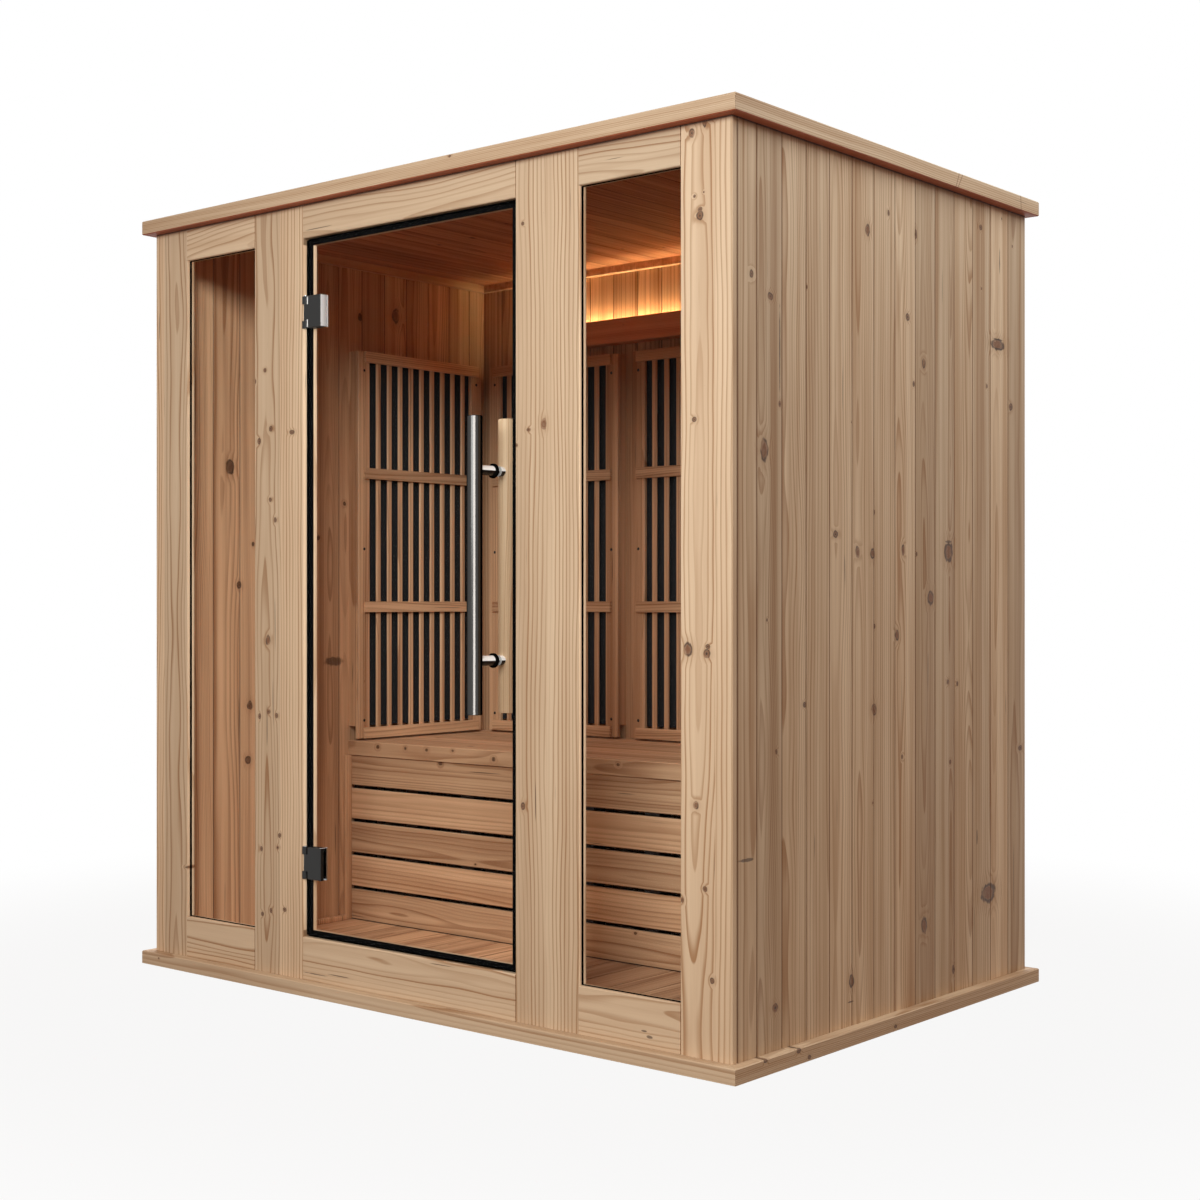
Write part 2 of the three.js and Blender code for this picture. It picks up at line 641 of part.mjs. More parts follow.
// Plan of a knuckle about the hinge axis with an arm that reaches a given x
function knucklePlan(armX) {
  const towards = Math.sign(armX - AXIS_X);
  const shape = new THREE.Shape();
  shape.moveTo(armX, AXIS_Y - KNUCKLE_RADIUS);
  shape.lineTo(AXIS_X, AXIS_Y - KNUCKLE_RADIUS);
  shape.absarc(AXIS_X, AXIS_Y, KNUCKLE_RADIUS, -Math.PI / 2, Math.PI / 2, towards > 0);
  shape.lineTo(armX, AXIS_Y + KNUCKLE_RADIUS);
  shape.closePath();
  return shape;
}

function pinBore(z0, z1) {
  const radius = PIN_RADIUS + PIN_PLAY;
  return turnedAlongZ([[0, z0], [radius, z0], [radius, z1], [0, z1]], AXIS_X, AXIS_Y, PIN_FACETS);
}

// A clamp plate seen from the front, with bevelled edges on the side away from the glass
function clampPlate(y0, y1, z, bevelAt) {
  const half = HINGE_HEIGHT / 2;
  const outline = rectangle(CLAMP_X0, CLAMP_X1, z - half, z + half);
  const corners = [
    alongX(cornerCut(bevelAt, z - half), CLAMP_X0 - SINK, CLAMP_X1 + SINK),
    alongX(cornerCut(bevelAt, z + half), CLAMP_X0 - SINK, CLAMP_X1 + SINK),
    alongZ(cornerCut(CLAMP_X1, bevelAt), z - half - SINK, z + half + SINK),
  ];
  return cut(alongY(outline, y0, y1), corners);
}

// A small diamond that takes the bevel off an edge
function cornerCut(a, b) {
  return polygon([[a - CLAMP_BEVEL, b], [a, b - CLAMP_BEVEL], [a + CLAMP_BEVEL, b], [a, b + CLAMP_BEVEL]]);
}

function hinge(name, z) {
  const half = HINGE_HEIGHT / 2;
  const leafX = -DOOR_EDGE_X + FIT;
  const tongue = half - KNUCKLE_LENGTH - KNUCKLE_GAP;
  const plateFront = DOOR_FRONT_Y - FIT - CLAMP_THICK;

  const leafY = AXIS_Y + HINGE_AXIS_Y;
  const leafBack = SEAL_FRONT_Y - LEAF_CLEAR;
  const leafPlate = alongZ(rectangle(leafX, leafX + LEAF_THICK, leafY, leafBack), z - half, z + half);
  const knuckles = [[z - half, z - half + KNUCKLE_LENGTH], [z + half - KNUCKLE_LENGTH, z + half]].map(
    ([z0, z1]) => alongZ(knucklePlan(leafX), z0, z1));
  const bore = pinBore(z - half - SINK, z + half + SINK);
  piece(`${name}_hinge_leaf`, cut(join([leafPlate, ...knuckles]), [bore]), darkMetal);

  const head = PIN_RADIUS + PIN_HEAD;
  const top = z + half + FIT;
  const pin = turnedAlongZ([
    [0, z - half], [PIN_RADIUS, z - half], [PIN_RADIUS, top],
    [head, top], [head, top + PIN_HEAD], [0, top + PIN_HEAD],
  ], AXIS_X, AXIS_Y, PIN_FACETS);
  piece(`${name}_hinge_pin`, pin, brightSteel);

  const plate = clampPlate(plateFront, DOOR_FRONT_Y - FIT, z, plateFront);
  const arm = alongZ(knucklePlan(CLAMP_X0 + SINK), z - tongue, z + tongue);
  const bosses = [-BOSS_SPACING / 2, BOSS_SPACING / 2].map((offset) => turnedAlongY([
    [0, DOOR_FRONT_Y - FIT - SINK], [BOSS_RADIUS, DOOR_FRONT_Y - FIT - SINK],
    [BOSS_RADIUS, DOOR_BACK_Y], [0, DOOR_BACK_Y],
  ], BOSS_X, z + offset, BOSS_FACETS));
  piece(`${name}_hinge_clamp`, cut(join([plate, arm, ...bosses]), [bore]), darkMetal);

  const backY = DOOR_BACK_Y + FIT;
  const backPlate = clampPlate(backY, backY + BACK_PLATE_THICK, z, backY + BACK_PLATE_THICK);
  piece(`${name}_hinge_back_plate`, backPlate, brightSteel);
}

// Door handle
function roundedBar(x, y0, y1, width, round) {
  const x0 = x - width / 2;
  const x1 = x + width / 2;
  const shape = new THREE.Shape();
  shape.moveTo(x0 + round, y0);
  shape.lineTo(x1 - round, y0);
  shape.absarc(x1 - round, y0 + round, round, -Math.PI / 2, 0, false);
  shape.lineTo(x1, y1 - round);
  shape.absarc(x1 - round, y1 - round, round, 0, Math.PI / 2, false);
  shape.lineTo(x0 + round, y1);
  shape.absarc(x0 + round, y1 - round, round, Math.PI / 2, Math.PI, false);
  shape.lineTo(x0, y0 + round);
  shape.absarc(x0 + round, y0 + round, round, Math.PI, 1.5 * Math.PI, false);
  return shape;
}

function handle() {
  const bottom = HANDLE_HEIGHT - HANDLE_LENGTH / 2;
  const top = HANDLE_HEIGHT + HANDLE_LENGTH / 2;
  const barY = DOOR_FRONT_Y - OUTER_STANDOFF - OUTER_BAR_RADIUS;
  const innerFront = DOOR_BACK_Y + INNER_STANDOFF;
  const innerBack = innerFront + INNER_BAR_DEPTH;
  const outer = turnedAlongZ([
    [0, bottom], [OUTER_BAR_RADIUS - BAR_END_BEVEL, bottom], [OUTER_BAR_RADIUS, bottom + BAR_END_BEVEL],
    [OUTER_BAR_RADIUS, top - BAR_END_BEVEL], [OUTER_BAR_RADIUS - BAR_END_BEVEL, top], [0, top],
  ], HANDLE_X, barY, BAR_FACETS);
  const innerPlan = roundedBar(HANDLE_X, innerFront, innerBack, INNER_BAR_WIDTH, INNER_BAR_ROUND);
  const inner = alongZ(innerPlan, bottom, top);

  // Each spindle seats in a socket of both bars; its stud passes through the glass
  const outerSeat = barY + OUTER_BAR_RADIUS - SPINDLE_SEAT;
  const innerSeat = innerFront + SPINDLE_SEAT;
  const frontShoulder = DOOR_FRONT_Y - WASHER_THICK - FIT;
  const backShoulder = DOOR_BACK_Y + WASHER_THICK + FIT;
  const spindle = (z, grow) => turnedAlongY([
    [0, outerSeat - grow], [SPINDLE_RADIUS + grow, outerSeat - grow],
    [SPINDLE_RADIUS + grow, frontShoulder], [SPINDLE_STUD_RADIUS, frontShoulder],
    [SPINDLE_STUD_RADIUS, backShoulder], [SPINDLE_RADIUS + grow, backShoulder],
    [SPINDLE_RADIUS + grow, innerSeat + grow], [0, innerSeat + grow],
  ], HANDLE_X, z, SPINDLE_FACETS);
  const sockets = Object.values(SPINDLE_LEVELS).map((z) => spindle(z, FIT));
  piece('outer_handle_bar', cut(outer, sockets), brightSteel);
  piece('inner_handle_bar', cut(inner, sockets), interiorTimber);
  for (const [level, z] of Object.entries(SPINDLE_LEVELS)) {
    piece(`${level}_handle_spindle`, spindle(z, 0), brightSteel);
  }
}

// Bench

// Middles of the bearers, spread evenly between the side walls
function bearerCentres(width) {
  const end = IN_X - FIT - width / 2;
  const step = (2 * end) / (BENCH_BEARERS - 1);
  return Array.from({ length: BENCH_BEARERS }, (_, index) => -end + index * step);
}

// Slab of boards running along the bench, with open joints in its top
function benchTop() {
  const half = IN_X - FIT;
  const back = IN_BACK_Y - FIT;
  const points = [
    [BENCH_FRONT_Y, BENCH_BOTTOM], [back, BENCH_BOTTOM], [back, BENCH_TOP],
  ];
  const joints = jointsFromStart(BENCH_DEPTH, BENCH_BOARD_PITCH).reverse();
  for (const joint of joints) {
    const at = BENCH_FRONT_Y + joint;
    points.push([at + BENCH_JOINT / 2, BENCH_TOP], [at + BENCH_JOINT / 2, BENCH_TOP - BENCH_JOINT_DEPTH]);
    points.push([at - BENCH_JOINT / 2, BENCH_TOP - BENCH_JOINT_DEPTH], [at - BENCH_JOINT / 2, BENCH_TOP]);
  }
  points.push([BENCH_FRONT_Y + EASE, BENCH_TOP], [BENCH_FRONT_Y, BENCH_TOP - EASE]);
  piece('bench_top', alongX(polygon(points), -half, half), interiorTimber);
}

// Boards across the front of the bench with open joints, nailed to upright battens
function benchFascia() {
  const half = IN_X - FIT;
  const bottom = FLOOR_TOP + FIT;
  const top = BENCH_BOTTOM - FIT;
  const boardHeight = (top - bottom - (FASCIA_BOARDS - 1) * FASCIA_JOINT) / FASCIA_BOARDS;
  const parts = [];
  for (let index = 0; index < FASCIA_BOARDS; index += 1) {
    const z0 = bottom + index * (boardHeight + FASCIA_JOINT);
    parts.push(alongX(eased(FASCIA_FRONT_Y, FASCIA_BACK_Y, z0, z0 + boardHeight), -half, half));
  }
  for (const x of bearerCentres(FASCIA_BATTEN)) {
    const batten = rectangle(x - FASCIA_BATTEN / 2, x + FASCIA_BATTEN / 2,
      FASCIA_BACK_Y - SINK, FASCIA_BACK_Y + FASCIA_BATTEN);
    parts.push(alongZ(batten, bottom, top));
  }
  piece('bench_fascia', join(parts), interiorTimber);
}

// Ledger on the back wall with bearers that reach the battens of the front
function benchFrame() {
  const half = IN_X - FIT;
  const back = IN_BACK_Y - FIT;
  const top = BENCH_BOTTOM - FIT;
  const front = FASCIA_BACK_Y + FASCIA_BATTEN + FIT;
  const parts = [alongX(rectangle(back - FRAME_TIMBER, back, top - FRAME_DEEP, top), -half, half)];
  for (const x of bearerCentres(FRAME_TIMBER)) {
    const bearer = rectangle(x - FRAME_TIMBER / 2, x + FRAME_TIMBER / 2, top - FRAME_DEEP, top);
    parts.push(alongY(bearer, front, back - FRAME_TIMBER + SINK));
  }
  piece('bench_frame', join(parts), interiorTimber);
}

// Heaters: drawn with their back on the wall at y = 0 and their face towards -Y, then turned into place

// Slatted guard: cheeks against the wall, stiles on them, thin slats flush with the stiles, rails across
function guardGeometry() {
  const half = HEATER_WIDTH / 2;
  const parts = [];
  for (const side of [-1, 1]) {
    const outer = side * half;
    const cheek = side * (half - CHEEK_THICK);
    const [c0, c1] = [Math.min(outer, cheek), Math.max(outer, cheek)];
    parts.push(alongZ(rectangle(c0, c1, -CHEEK_DEPTH - SINK, -FIT), CHEEK_RAISE, HEATER_HEIGHT));
    const stile = side * (half - GUARD_STILE);
    const [s0, s1] = [Math.min(outer, stile), Math.max(outer, stile)];
    parts.push(alongZ(eased(s0, s1, -GUARD_FRONT, -CHEEK_DEPTH, SLAT_EASE), 0, HEATER_HEIGHT));
  }
  const field = HEATER_WIDTH - 2 * GUARD_STILE;
  const gap = (field - SLAT_COUNT * SLAT_WIDTH) / (SLAT_COUNT + 1);
  for (let index = 0; index < SLAT_COUNT; index += 1) {
    const x0 = -field / 2 + gap + index * (SLAT_WIDTH + gap);
    const slat = eased(x0, x0 + SLAT_WIDTH, -GUARD_FRONT, SLAT_THICK - GUARD_FRONT, SLAT_EASE);
    parts.push(alongZ(slat, EASE, HEATER_HEIGHT - EASE));
  }
  const railHalf = half - RAIL_INSET;
  const middle = [LOW_RAIL_AT, HIGH_RAIL_AT].map((level) => level - RAIL_HEIGHT / 2);
  const rails = [0, ...middle, HEATER_HEIGHT - RAIL_HEIGHT];
  for (const z0 of rails) {
    const side = eased(-GUARD_FRONT - RAIL_THICK, -GUARD_FRONT + SINK, z0, z0 + RAIL_HEIGHT, SINK);
    parts.push(alongX(side, -railHalf, railHalf));
  }
  return join(parts);
}

// Black panel emitter in a shallow tray between the cheeks
function emitterGeometry() {
  const half = HEATER_WIDTH / 2 - CHEEK_THICK - FIT;
  const bottom = CHEEK_RAISE;
  const top = HEATER_HEIGHT - EASE;
  const front = -CHEEK_DEPTH + FIT;
  const tray = alongY(rectangle(-half, half, bottom, top), front, -FIT);
  const face = rectangle(-half + EMITTER_LIP, half - EMITTER_LIP, bottom + EMITTER_LIP, top - EMITTER_LIP);
  return cut(tray, [alongY(face, front - SINK, front + EMITTER_RECESS)]);
}

function heater(name, x, y, turn) {
  const group = new THREE.Group();
  group.position.set(x, y, HEATER_BOTTOM);
  group.rotation.z = turn;
  piece(`${name}_heater_guard`, guardGeometry(), interiorTimber, group);
  piece(`${name}_heater_emitter`, emitterGeometry(), emitterBlack, group);
  cabin.add(group);
}

function heaters() {
  const sideY = IN_BACK_Y - HEATER_DEPTH - HEATER_CORNER_CLEAR - HEATER_WIDTH / 2;
  heater('left', -IN_X, sideY, FACE_RIGHT);
  heater('right', IN_X, sideY, FACE_LEFT);
  const names = ['back_left', 'back_middle', 'back_right'];
  for (let index = 0; index < HEATER_BACK_COUNT; index += 1) {
    const fromMiddle = index - (HEATER_BACK_COUNT - 1) / 2;
    heater(names[index], fromMiddle * (HEATER_WIDTH + HEATER_GAP), IN_BACK_Y, FACE_FRONT);
  }
}

// Light pelmet: an L-shaped trough whose open top lights the wall and the ceiling
function lightPelmet() {
  const back = IN_BACK_Y - FIT;
  const front = IN_BACK_Y - PELMET_DEPTH;
  const top = PELMET_BOTTOM + PELMET_HEIGHT;
  const trough = polygon([
    [front + EASE, PELMET_BOTTOM], [back, PELMET_BOTTOM], [back, PELMET_BOTTOM + PELMET_SHELF],
    [front + PELMET_BOARD, PELMET_BOTTOM + PELMET_SHELF], [front + PELMET_BOARD, top],
    [front + EASE, top], [front, top - EASE], [front, PELMET_BOTTOM + EASE],
  ]);
  piece('led_pelmet', alongX(trough, -PELMET_LENGTH / 2, PELMET_LENGTH / 2), interiorTimber);
}

// Power unit on the floor under the bench: a case on two feet with an overlapping lid
function powerUnit() {
  const x1 = IN_X - UNIT_FROM_WALL;
  const x0 = x1 - UNIT_WIDTH;
  const y0 = FASCIA_BACK_Y + UNIT_FROM_FASCIA;
  const y1 = y0 + UNIT_DEPTH;
  const z0 = FLOOR_TOP + FIT;
  const caseBottom = z0 + UNIT_FOOT;
  const caseTop = caseBottom + UNIT_HEIGHT;
  const body = alongZ(rectangle(x0, x1, y0, y1), caseBottom, caseTop - UNIT_LID + SINK);
  const lid = alongZ(eased(x0 - UNIT_LID_OVER, x1 + UNIT_LID_OVER, y0 - UNIT_LID_OVER, y1 + UNIT_LID_OVER),
    caseTop - UNIT_LID, caseTop);
  const feet = [x0, x1 - UNIT_FOOT_WIDTH].map((x) => alongY(
    rectangle(x, x + UNIT_FOOT_WIDTH, z0, caseBottom + SINK), y0, y1));
  piece('power_unit', join([body, lid, ...feet]), unitGrey);
}

// Touch panel on the inner face of the handle post: a bevelled case with a sunk screen
function touchPanel() {
  const x = (DOOR_EDGE_X + STOP_WIDTH + POST_EDGE_X) / 2;
  const back = FRAME_BACK_Y + FIT;
  const face = back + PANEL_DEPTH;
  const halfW = PANEL_WIDTH / 2;
  const bottom = PANEL_LEVEL - PANEL_LENGTH / 2;
  const top = PANEL_LEVEL + PANEL_LENGTH / 2;
  const upright = polygon([
    [x - halfW, back], [x + halfW, back], [x + halfW, face - PANEL_BEVEL],
    [x + halfW - PANEL_BEVEL, face], [x - halfW + PANEL_BEVEL, face], [x - halfW, face - PANEL_BEVEL],
  ]);
  const body = alongZ(upright, bottom, top);
  const screen = rectangle(x - halfW + PANEL_SCREEN_BORDER, x + halfW - PANEL_SCREEN_BORDER,
    bottom + PANEL_SCREEN_BORDER, top - PANEL_SCREEN_BORDER);
  piece('touch_panel', cut(body, [alongY(screen, face - PANEL_SCREEN_DEPTH, face + SINK)]), panelBlack);
}

// Assembly
plinths();
floorDeck();
walls();
caps();
roofPanel();
uprights();
windowRails();
doorRail('door_head', WALL_TOP, OPENING_TOP);
doorRail('door_sill', WALL_BOTTOM, OPENING_BOTTOM);
windows();
doorLeaf();
for (const [name, z] of Object.entries(HINGE_LEVELS)) hinge(name, z);
handle();
benchTop();
benchFascia();
benchFrame();
heaters();
lightPelmet();
powerUnit();
touchPanel();

export default cabin;
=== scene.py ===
import json
import math

import bmesh
import bpy
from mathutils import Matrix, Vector

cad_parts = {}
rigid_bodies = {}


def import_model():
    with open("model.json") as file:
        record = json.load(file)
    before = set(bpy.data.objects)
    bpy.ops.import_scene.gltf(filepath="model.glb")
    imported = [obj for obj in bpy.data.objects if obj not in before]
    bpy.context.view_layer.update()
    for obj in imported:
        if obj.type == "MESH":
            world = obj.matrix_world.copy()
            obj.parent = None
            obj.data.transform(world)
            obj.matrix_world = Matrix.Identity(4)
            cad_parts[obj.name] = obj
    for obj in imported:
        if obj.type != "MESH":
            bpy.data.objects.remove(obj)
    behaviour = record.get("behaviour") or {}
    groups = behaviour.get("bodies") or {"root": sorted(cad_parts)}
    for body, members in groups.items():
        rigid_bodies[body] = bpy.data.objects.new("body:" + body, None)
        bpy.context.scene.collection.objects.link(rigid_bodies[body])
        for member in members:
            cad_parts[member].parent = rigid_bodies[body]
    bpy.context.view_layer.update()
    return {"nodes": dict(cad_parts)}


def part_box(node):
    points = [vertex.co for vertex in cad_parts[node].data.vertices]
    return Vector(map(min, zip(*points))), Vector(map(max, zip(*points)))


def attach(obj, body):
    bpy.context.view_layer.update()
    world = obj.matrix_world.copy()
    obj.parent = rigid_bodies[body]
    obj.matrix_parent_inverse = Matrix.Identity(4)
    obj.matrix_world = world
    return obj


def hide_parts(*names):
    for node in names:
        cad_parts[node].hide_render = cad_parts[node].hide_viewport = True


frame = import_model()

NODES = frame["nodes"]

# Camera: level, at the corner of the cabin, in metres and degrees
CAMERA_AT = (2.97967, -3.47689, 0.92462)
CAMERA_TURN = 39.947
CAMERA_LENS = 54.93
CAMERA_SHIFT_Y = 0.00178

# Light of the studio. Lamps: name, place, aim, width and height, power, tint, spread in degrees
AMBIENT = (0.40, 0.29, 0.215)
LAMPS = (
    ("key", (0.75, -3.05, 1.9), (0.31, -0.6, 0.75), (1.6, 1.6), 58.7, (0.93, 0.985, 1.0), 180),
    ("side", (2.1, 0.12, 3.1), (0.9, 0.3, 1.2), (1.8, 1.8), 31, (0.84, 0.95, 1.0), 180),
    ("rear", (-3.0, 3.2, 2.8), (-0.5, 0.4, 1.0), (2.4, 2.4), 130, (1.0, 0.98, 0.95), 180),
    ("beam", (1.97, -3.14, 2.66), (-0.2, -0.3, 0.9), (0.95, 0.95), 126, (0.92, 0.985, 1.0), 180),
    ("room", (-0.25, -0.1, 1.87), (-0.25, -0.1, 0.0), (0.5, 0.5), 1.7, (1.0, 0.78, 0.72), 100),
    ("tall", (1.85, -2.55, 1.15), (0.27, -0.66, 1.0), (1.2, 1.7), 84, (1.0, 0.98, 0.96), 180),
)

# What each lamp reaches: pieces that stand in the cabin, and bright ones
INSIDE = ("bench", "floor_deck", "roof_panel", "led_pelmet", "power_unit")
INSIDE_ENDINGS = ("_lining", "_heater_guard", "_heater_emitter")
INSIDE_PIECES = ("_battens", "heater_screws")
BRIGHT_PIECES = ("handle_tube", "handle_spindle", "_beads", "_trims")

# Studio floor
FLOOR_SIZE = 60
FLOOR_BOUNCE = (0.2, 0.122, 0.068)
FLOOR_WHITE = 0.92
FLOOR_DROP = 0.0005
SHADOW_REACH = 1.3
SHADOW_END = 2.2 * SHADOW_REACH

# Boards: pitch and place of the joints, as the solids have them
BOARD_PITCH = 0.0871
CLADDING_BACK = 0.607
LINING_BACK = 0.5817
FLOOR_PITCH = 0.095
# Floor boards right of this X are painted darker as shade
FLOOR_SHADE_FROM_X = 0.0
BENCH_PITCH = 0.091
FASCIA_PITCH = 0.09388
FASCIA_FACE = 0.010

# Joints between boards: reach of the dark line, and its depth, which is black above 1
JOINT_REACH = 0.0024
SEAM_FADE = (0.0015, 0.0052)
FLOOR_GROOVE = 1.3
FASCIA_FOOT_GROOVE = 1.4
# Painted shade on the walls under the cap boards: its reach, its depth, which is black above 1, and its
# curve
CAP_SHADE = 0.016
CAP_SHADE_DEPTH = 1.4
CAP_SHADE_CURVE = 1.5

# Boards are cut from places strewn over this length, width and depth
TREE_LENGTH = 11.3
TREE_WIDTH = 7.1
TREE_DEPTH = 3.7

# Tree rings: width of a year, and how far behind the face the heart lies
RING = 0.0044
HEART_DEPTH = 0.012
FIGURED_HEART_DEPTH = 0.016
WANDER = 0.05
YEAR_STEP = 31.7

# Timber grain: noise scales per metre, along and across the board
WANDER_SCALE = (0.9, 3.0)
WARP_SCALE = (2.2, 14.0)
STREAK_SCALE = (0.8, 48.0)
BAND_SCALE = (0.5, 17.0)
FIBRE_SCALE = (12.0, 560.0)
CLOUD_SCALE = (2.0, 8.0)
CHECK_SCALE = (4.0, 150.0)
RAGGED_SCALE = (60, 90)
BARK_SCALE = (30, 40)

# Boards differ in lightness: the darkest share and the range above it
DARKEST_BOARD = 0.87
BOARD_RANGE = 0.26

# Knots strewn by chance and large knots; a mark that is far off doesn't show
KNOT_CELL = 0.17
KNOT_STRETCH = 0.72
KNOT_RADIUS = 0.022
SMALLEST_KNOT = 0.0002
WHORL_RINGS = 15.0
LARGE_KNOT = 0.0105
LARGE_KNOT_CORE = 0.5
FAR_OFF = 50.0

# Knots and checks that stand out: place along the grain, place across it, half length and half width
SIDE_KNOTS = (
    (1.566, -0.543, 0.008, 0.006), (1.531, -0.478, 0.007, 0.009), (1.719, -0.115, 0.012, 0.009),
    (1.769, -0.029, 0.006, 0.004), (1.741, 0.086, 0.010, 0.005), (1.553, 0.051, 0.007, 0.008),
    (1.458, 0.121, 0.011, 0.007), (1.803, 0.384, 0.006, 0.007), (1.537, 0.468, 0.013, 0.030),
    (1.394, 0.534, 0.008, 0.009), (1.320, -0.446, 0.006, 0.004), (1.225, -0.499, 0.022, 0.013),
    (1.066, -0.241, 0.007, 0.009), (1.031, -0.155, 0.012, 0.008), (1.028, -0.095, 0.012, 0.008),
    (1.039, 0.032, 0.011, 0.006), (1.039, 0.233, 0.021, 0.018), (0.934, 0.152, 0.016, 0.013),
    (0.852, 0.006, 0.012, 0.007), (0.716, -0.357, 0.005, 0.006), (0.694, -0.089, 0.012, 0.010),
    (0.743, 0.229, 0.006, 0.005), (0.737, 0.273, 0.005, 0.004), (0.627, -0.458, 0.005, 0.004),
    (0.585, 0.028, 0.005, 0.004), (0.559, 0.240, 0.005, 0.004), (0.571, 0.584, 0.006, 0.010),
    (0.239, 0.421, 0.022, 0.032), (0.203, 0.123, 0.018, 0.011), (0.127, -0.179, 0.013, 0.009),
    (0.085, 0.255, 0.010, 0.006), (0.118, -0.462, 0.008, 0.009),
)
SIDE_CHECKS = (
    (0.422, -0.560, 0.004, 0.033), (0.375, 0.367, 0.022, 0.003), (0.083, -0.183, 0.002, 0.013),
    (1.428, -0.446, 0.105, 0.0026), (1.735, 0.478, 0.035, 0.0024), (1.062, 0.232, 0.004, 0.016),
    (1.549, 0.468, 0.0022, 0.030), (1.527, 0.468, 0.0022, 0.026),
)
POST_KNOTS = (
    (1.862, 0.842, 0.010, 0.005), (1.866, 0.856, 0.004, 0.012), (1.845, 0.811, 0.009, 0.007),
    (1.720, 0.818, 0.003, 0.003), (1.725, 0.840, 0.002, 0.002), (1.693, 0.831, 0.004, 0.005),
    (1.680, 0.831, 0.009, 0.008), (1.283, 0.817, 0.005, 0.005), (0.831, 0.801, 0.014, 0.010),
    (0.824, 0.847, 0.008, 0.008), (0.838, 0.850, 0.004, 0.005), (0.527, 0.821, 0.008, 0.007),
    (0.365, 0.843, 0.005, 0.005), (0.338, 0.787, 0.005, 0.005), (0.188, 0.860, 0.006, 0.005),
    (1.727, 0.362, 0.004, 0.004), (1.299, 0.422, 0.012, 0.008), (1.289, 0.380, 0.004, 0.006),
    (1.258, 0.345, 0.004, 0.003), (0.492, 0.363, 0.008, 0.006), (1.484, -0.479, 0.005, 0.005),
    (1.460, -0.516, 0.005, 0.004), (1.342, -0.458, 0.006, 0.006), (1.314, -0.501, 0.007, 0.006),
    (1.329, -0.380, 0.005, 0.009), (1.171, -0.460, 0.005, 0.005), (0.833, -0.468, 0.011, 0.008),
    (1.122, -0.442, 0.006, 0.005), (0.648, -0.499, 0.006, 0.005), (0.661, -0.465, 0.006, 0.006),
    (0.652, -0.437, 0.006, 0.005), (0.366, -0.425, 0.005, 0.005), (0.328, -0.493, 0.006, 0.005),
    (0.336, -0.432, 0.005, 0.005), (0.183, -0.456, 0.006, 0.005), (0.171, -0.488, 0.005, 0.005),
    (0.190, -0.407, 0.005, 0.006), (0.256, -0.776, 0.003, 0.012),
)
LINING_KNOTS = (
    (1.729, 0.051, 0.010, 0.008), (1.750, 0.190, 0.020, 0.013), (1.200, -0.007, 0.006, 0.005),
    (1.102, -0.103, 0.006, 0.005), (1.280, -0.409, 0.018, 0.013), (0.651, -0.343, 0.011, 0.009),
    (0.970, -0.379, 0.009, 0.007), (0.505, -0.349, 0.011, 0.009),
)
LINING_CHECKS = ((0.760, -0.047, 0.015, 0.042),)
RAIL_CHECKS = (
    (0.705, 0.055, 0.010, 0.0035), (0.691, 0.065, 0.008, 0.0022),
    (-0.298, 0.050, 0.046, 0.0014), (-0.212, 0.056, 0.046, 0.0014),
)
PLINTH_KNOTS = (
    (-0.530, 0.030, 0.006, 0.004), (-0.415, 0.028, 0.007, 0.005), (-0.377, 0.008, 0.006, 0.004),
    (-0.042, 0.010, 0.006, 0.004),
)
BENCH_KNOTS = (
    (-0.739, 0.525, 0.006, 0.005), (-0.630, 0.526, 0.004, 0.004), (-0.548, 0.526, 0.005, 0.004),
    (-0.450, 0.529, 0.004, 0.003), (-0.300, 0.515, 0.006, 0.005), (0.120, 0.524, 0.005, 0.004),
)

# Level boards: upper and lower ones part at mid height, and the rails at the sides of the door
MID_HEIGHT = (0.95,)
DOOR_SIDES = (-0.43, 0.43)
MIDDLE = (0.0,)

# Glued posts: seams between the lamellas, and where the heart of each lamella lies
POST_SEAMS = (-0.874, -0.65, -0.423, 0.0, 0.428, 0.65, 0.868)
POST_HEARTS = (-1.0, -0.825, -0.478, -0.24, 0.22, 0.57, 0.822, 1.0)
RAIL_HEARTS = (0.1, 1.79)

# End joints of the side cap boards: place along, slant
CAP_MIDDLE = 1.8845
CAP_HALF = 0.1
CAP_CUTS = ((0.244, 0.66), (0.231, 0.47), (0.538, -0.1))
CUT_FADE = (0.0006, 0.0026)

# Heater guards: slats, rails and screws
SLAT_PITCH = 0.0425
RAIL_SPACING = 0.19
GUARD_LAYER = 0.040
GUARD_SKIN = 0.0005
SCREW_RADIUS = 0.0042
SCREW_FROM_EDGE = 0.022
SCREW_LEVELS = (0.05, 0.53, 1.03)
SCREW_SUNK = 0.0003
SCREW_SEGMENTS = 20
SCREW_DOME = ((0.0, -0.0004), (1.0, -0.0004), (1.0, 0.0), (0.8, 0.0010), (0.45, 0.0015), (0.0, 0.0016))

# Light strip standing in the trough behind the pelmet board
STRIP_WIDTH = 0.010
STRIP_HEIGHT = 0.032
STRIP_FROM_END = 0.02
STRIP_SECTION = (
    (-0.5, 0.0), (0.5, 0.0), (0.5, 0.88), (0.3, 0.97), (0.0, 1.0), (-0.3, 0.97), (-0.5, 0.88),
)
PELMET_BOARD = 0.018
PELMET_SHELF = 0.0154
STRIP_POWER = 34.5
STRIP_COLOUR = (0.92, 0.94, 0.59)

# Battens: cornice under the ceiling, floor edge and corner beside the bench
CORNICE_REACH = 0.015
CORNICE_DROP = 0.022
FLOOR_BATTEN = 0.014
CORNER_BATTEN = 0.022
BATTEN_EASE = 0.002
BATTEN_GAP = 0.0004
BATTEN_FROM_FRONT = 0.002

# Bright trims of the hinges
TRIM_THICK = 0.0006
TRIM_INSET = 0.001
BACK_TRIM_INSET = 0.0004
TOP_TRIM_WIDTH = 0.004
SLIT_WIDTH = 0.0036
SLIT_FROM_SIDE = 0.0145
SLIT_HEIGHT = 0.018
SLIT_FROM_END = 0.002

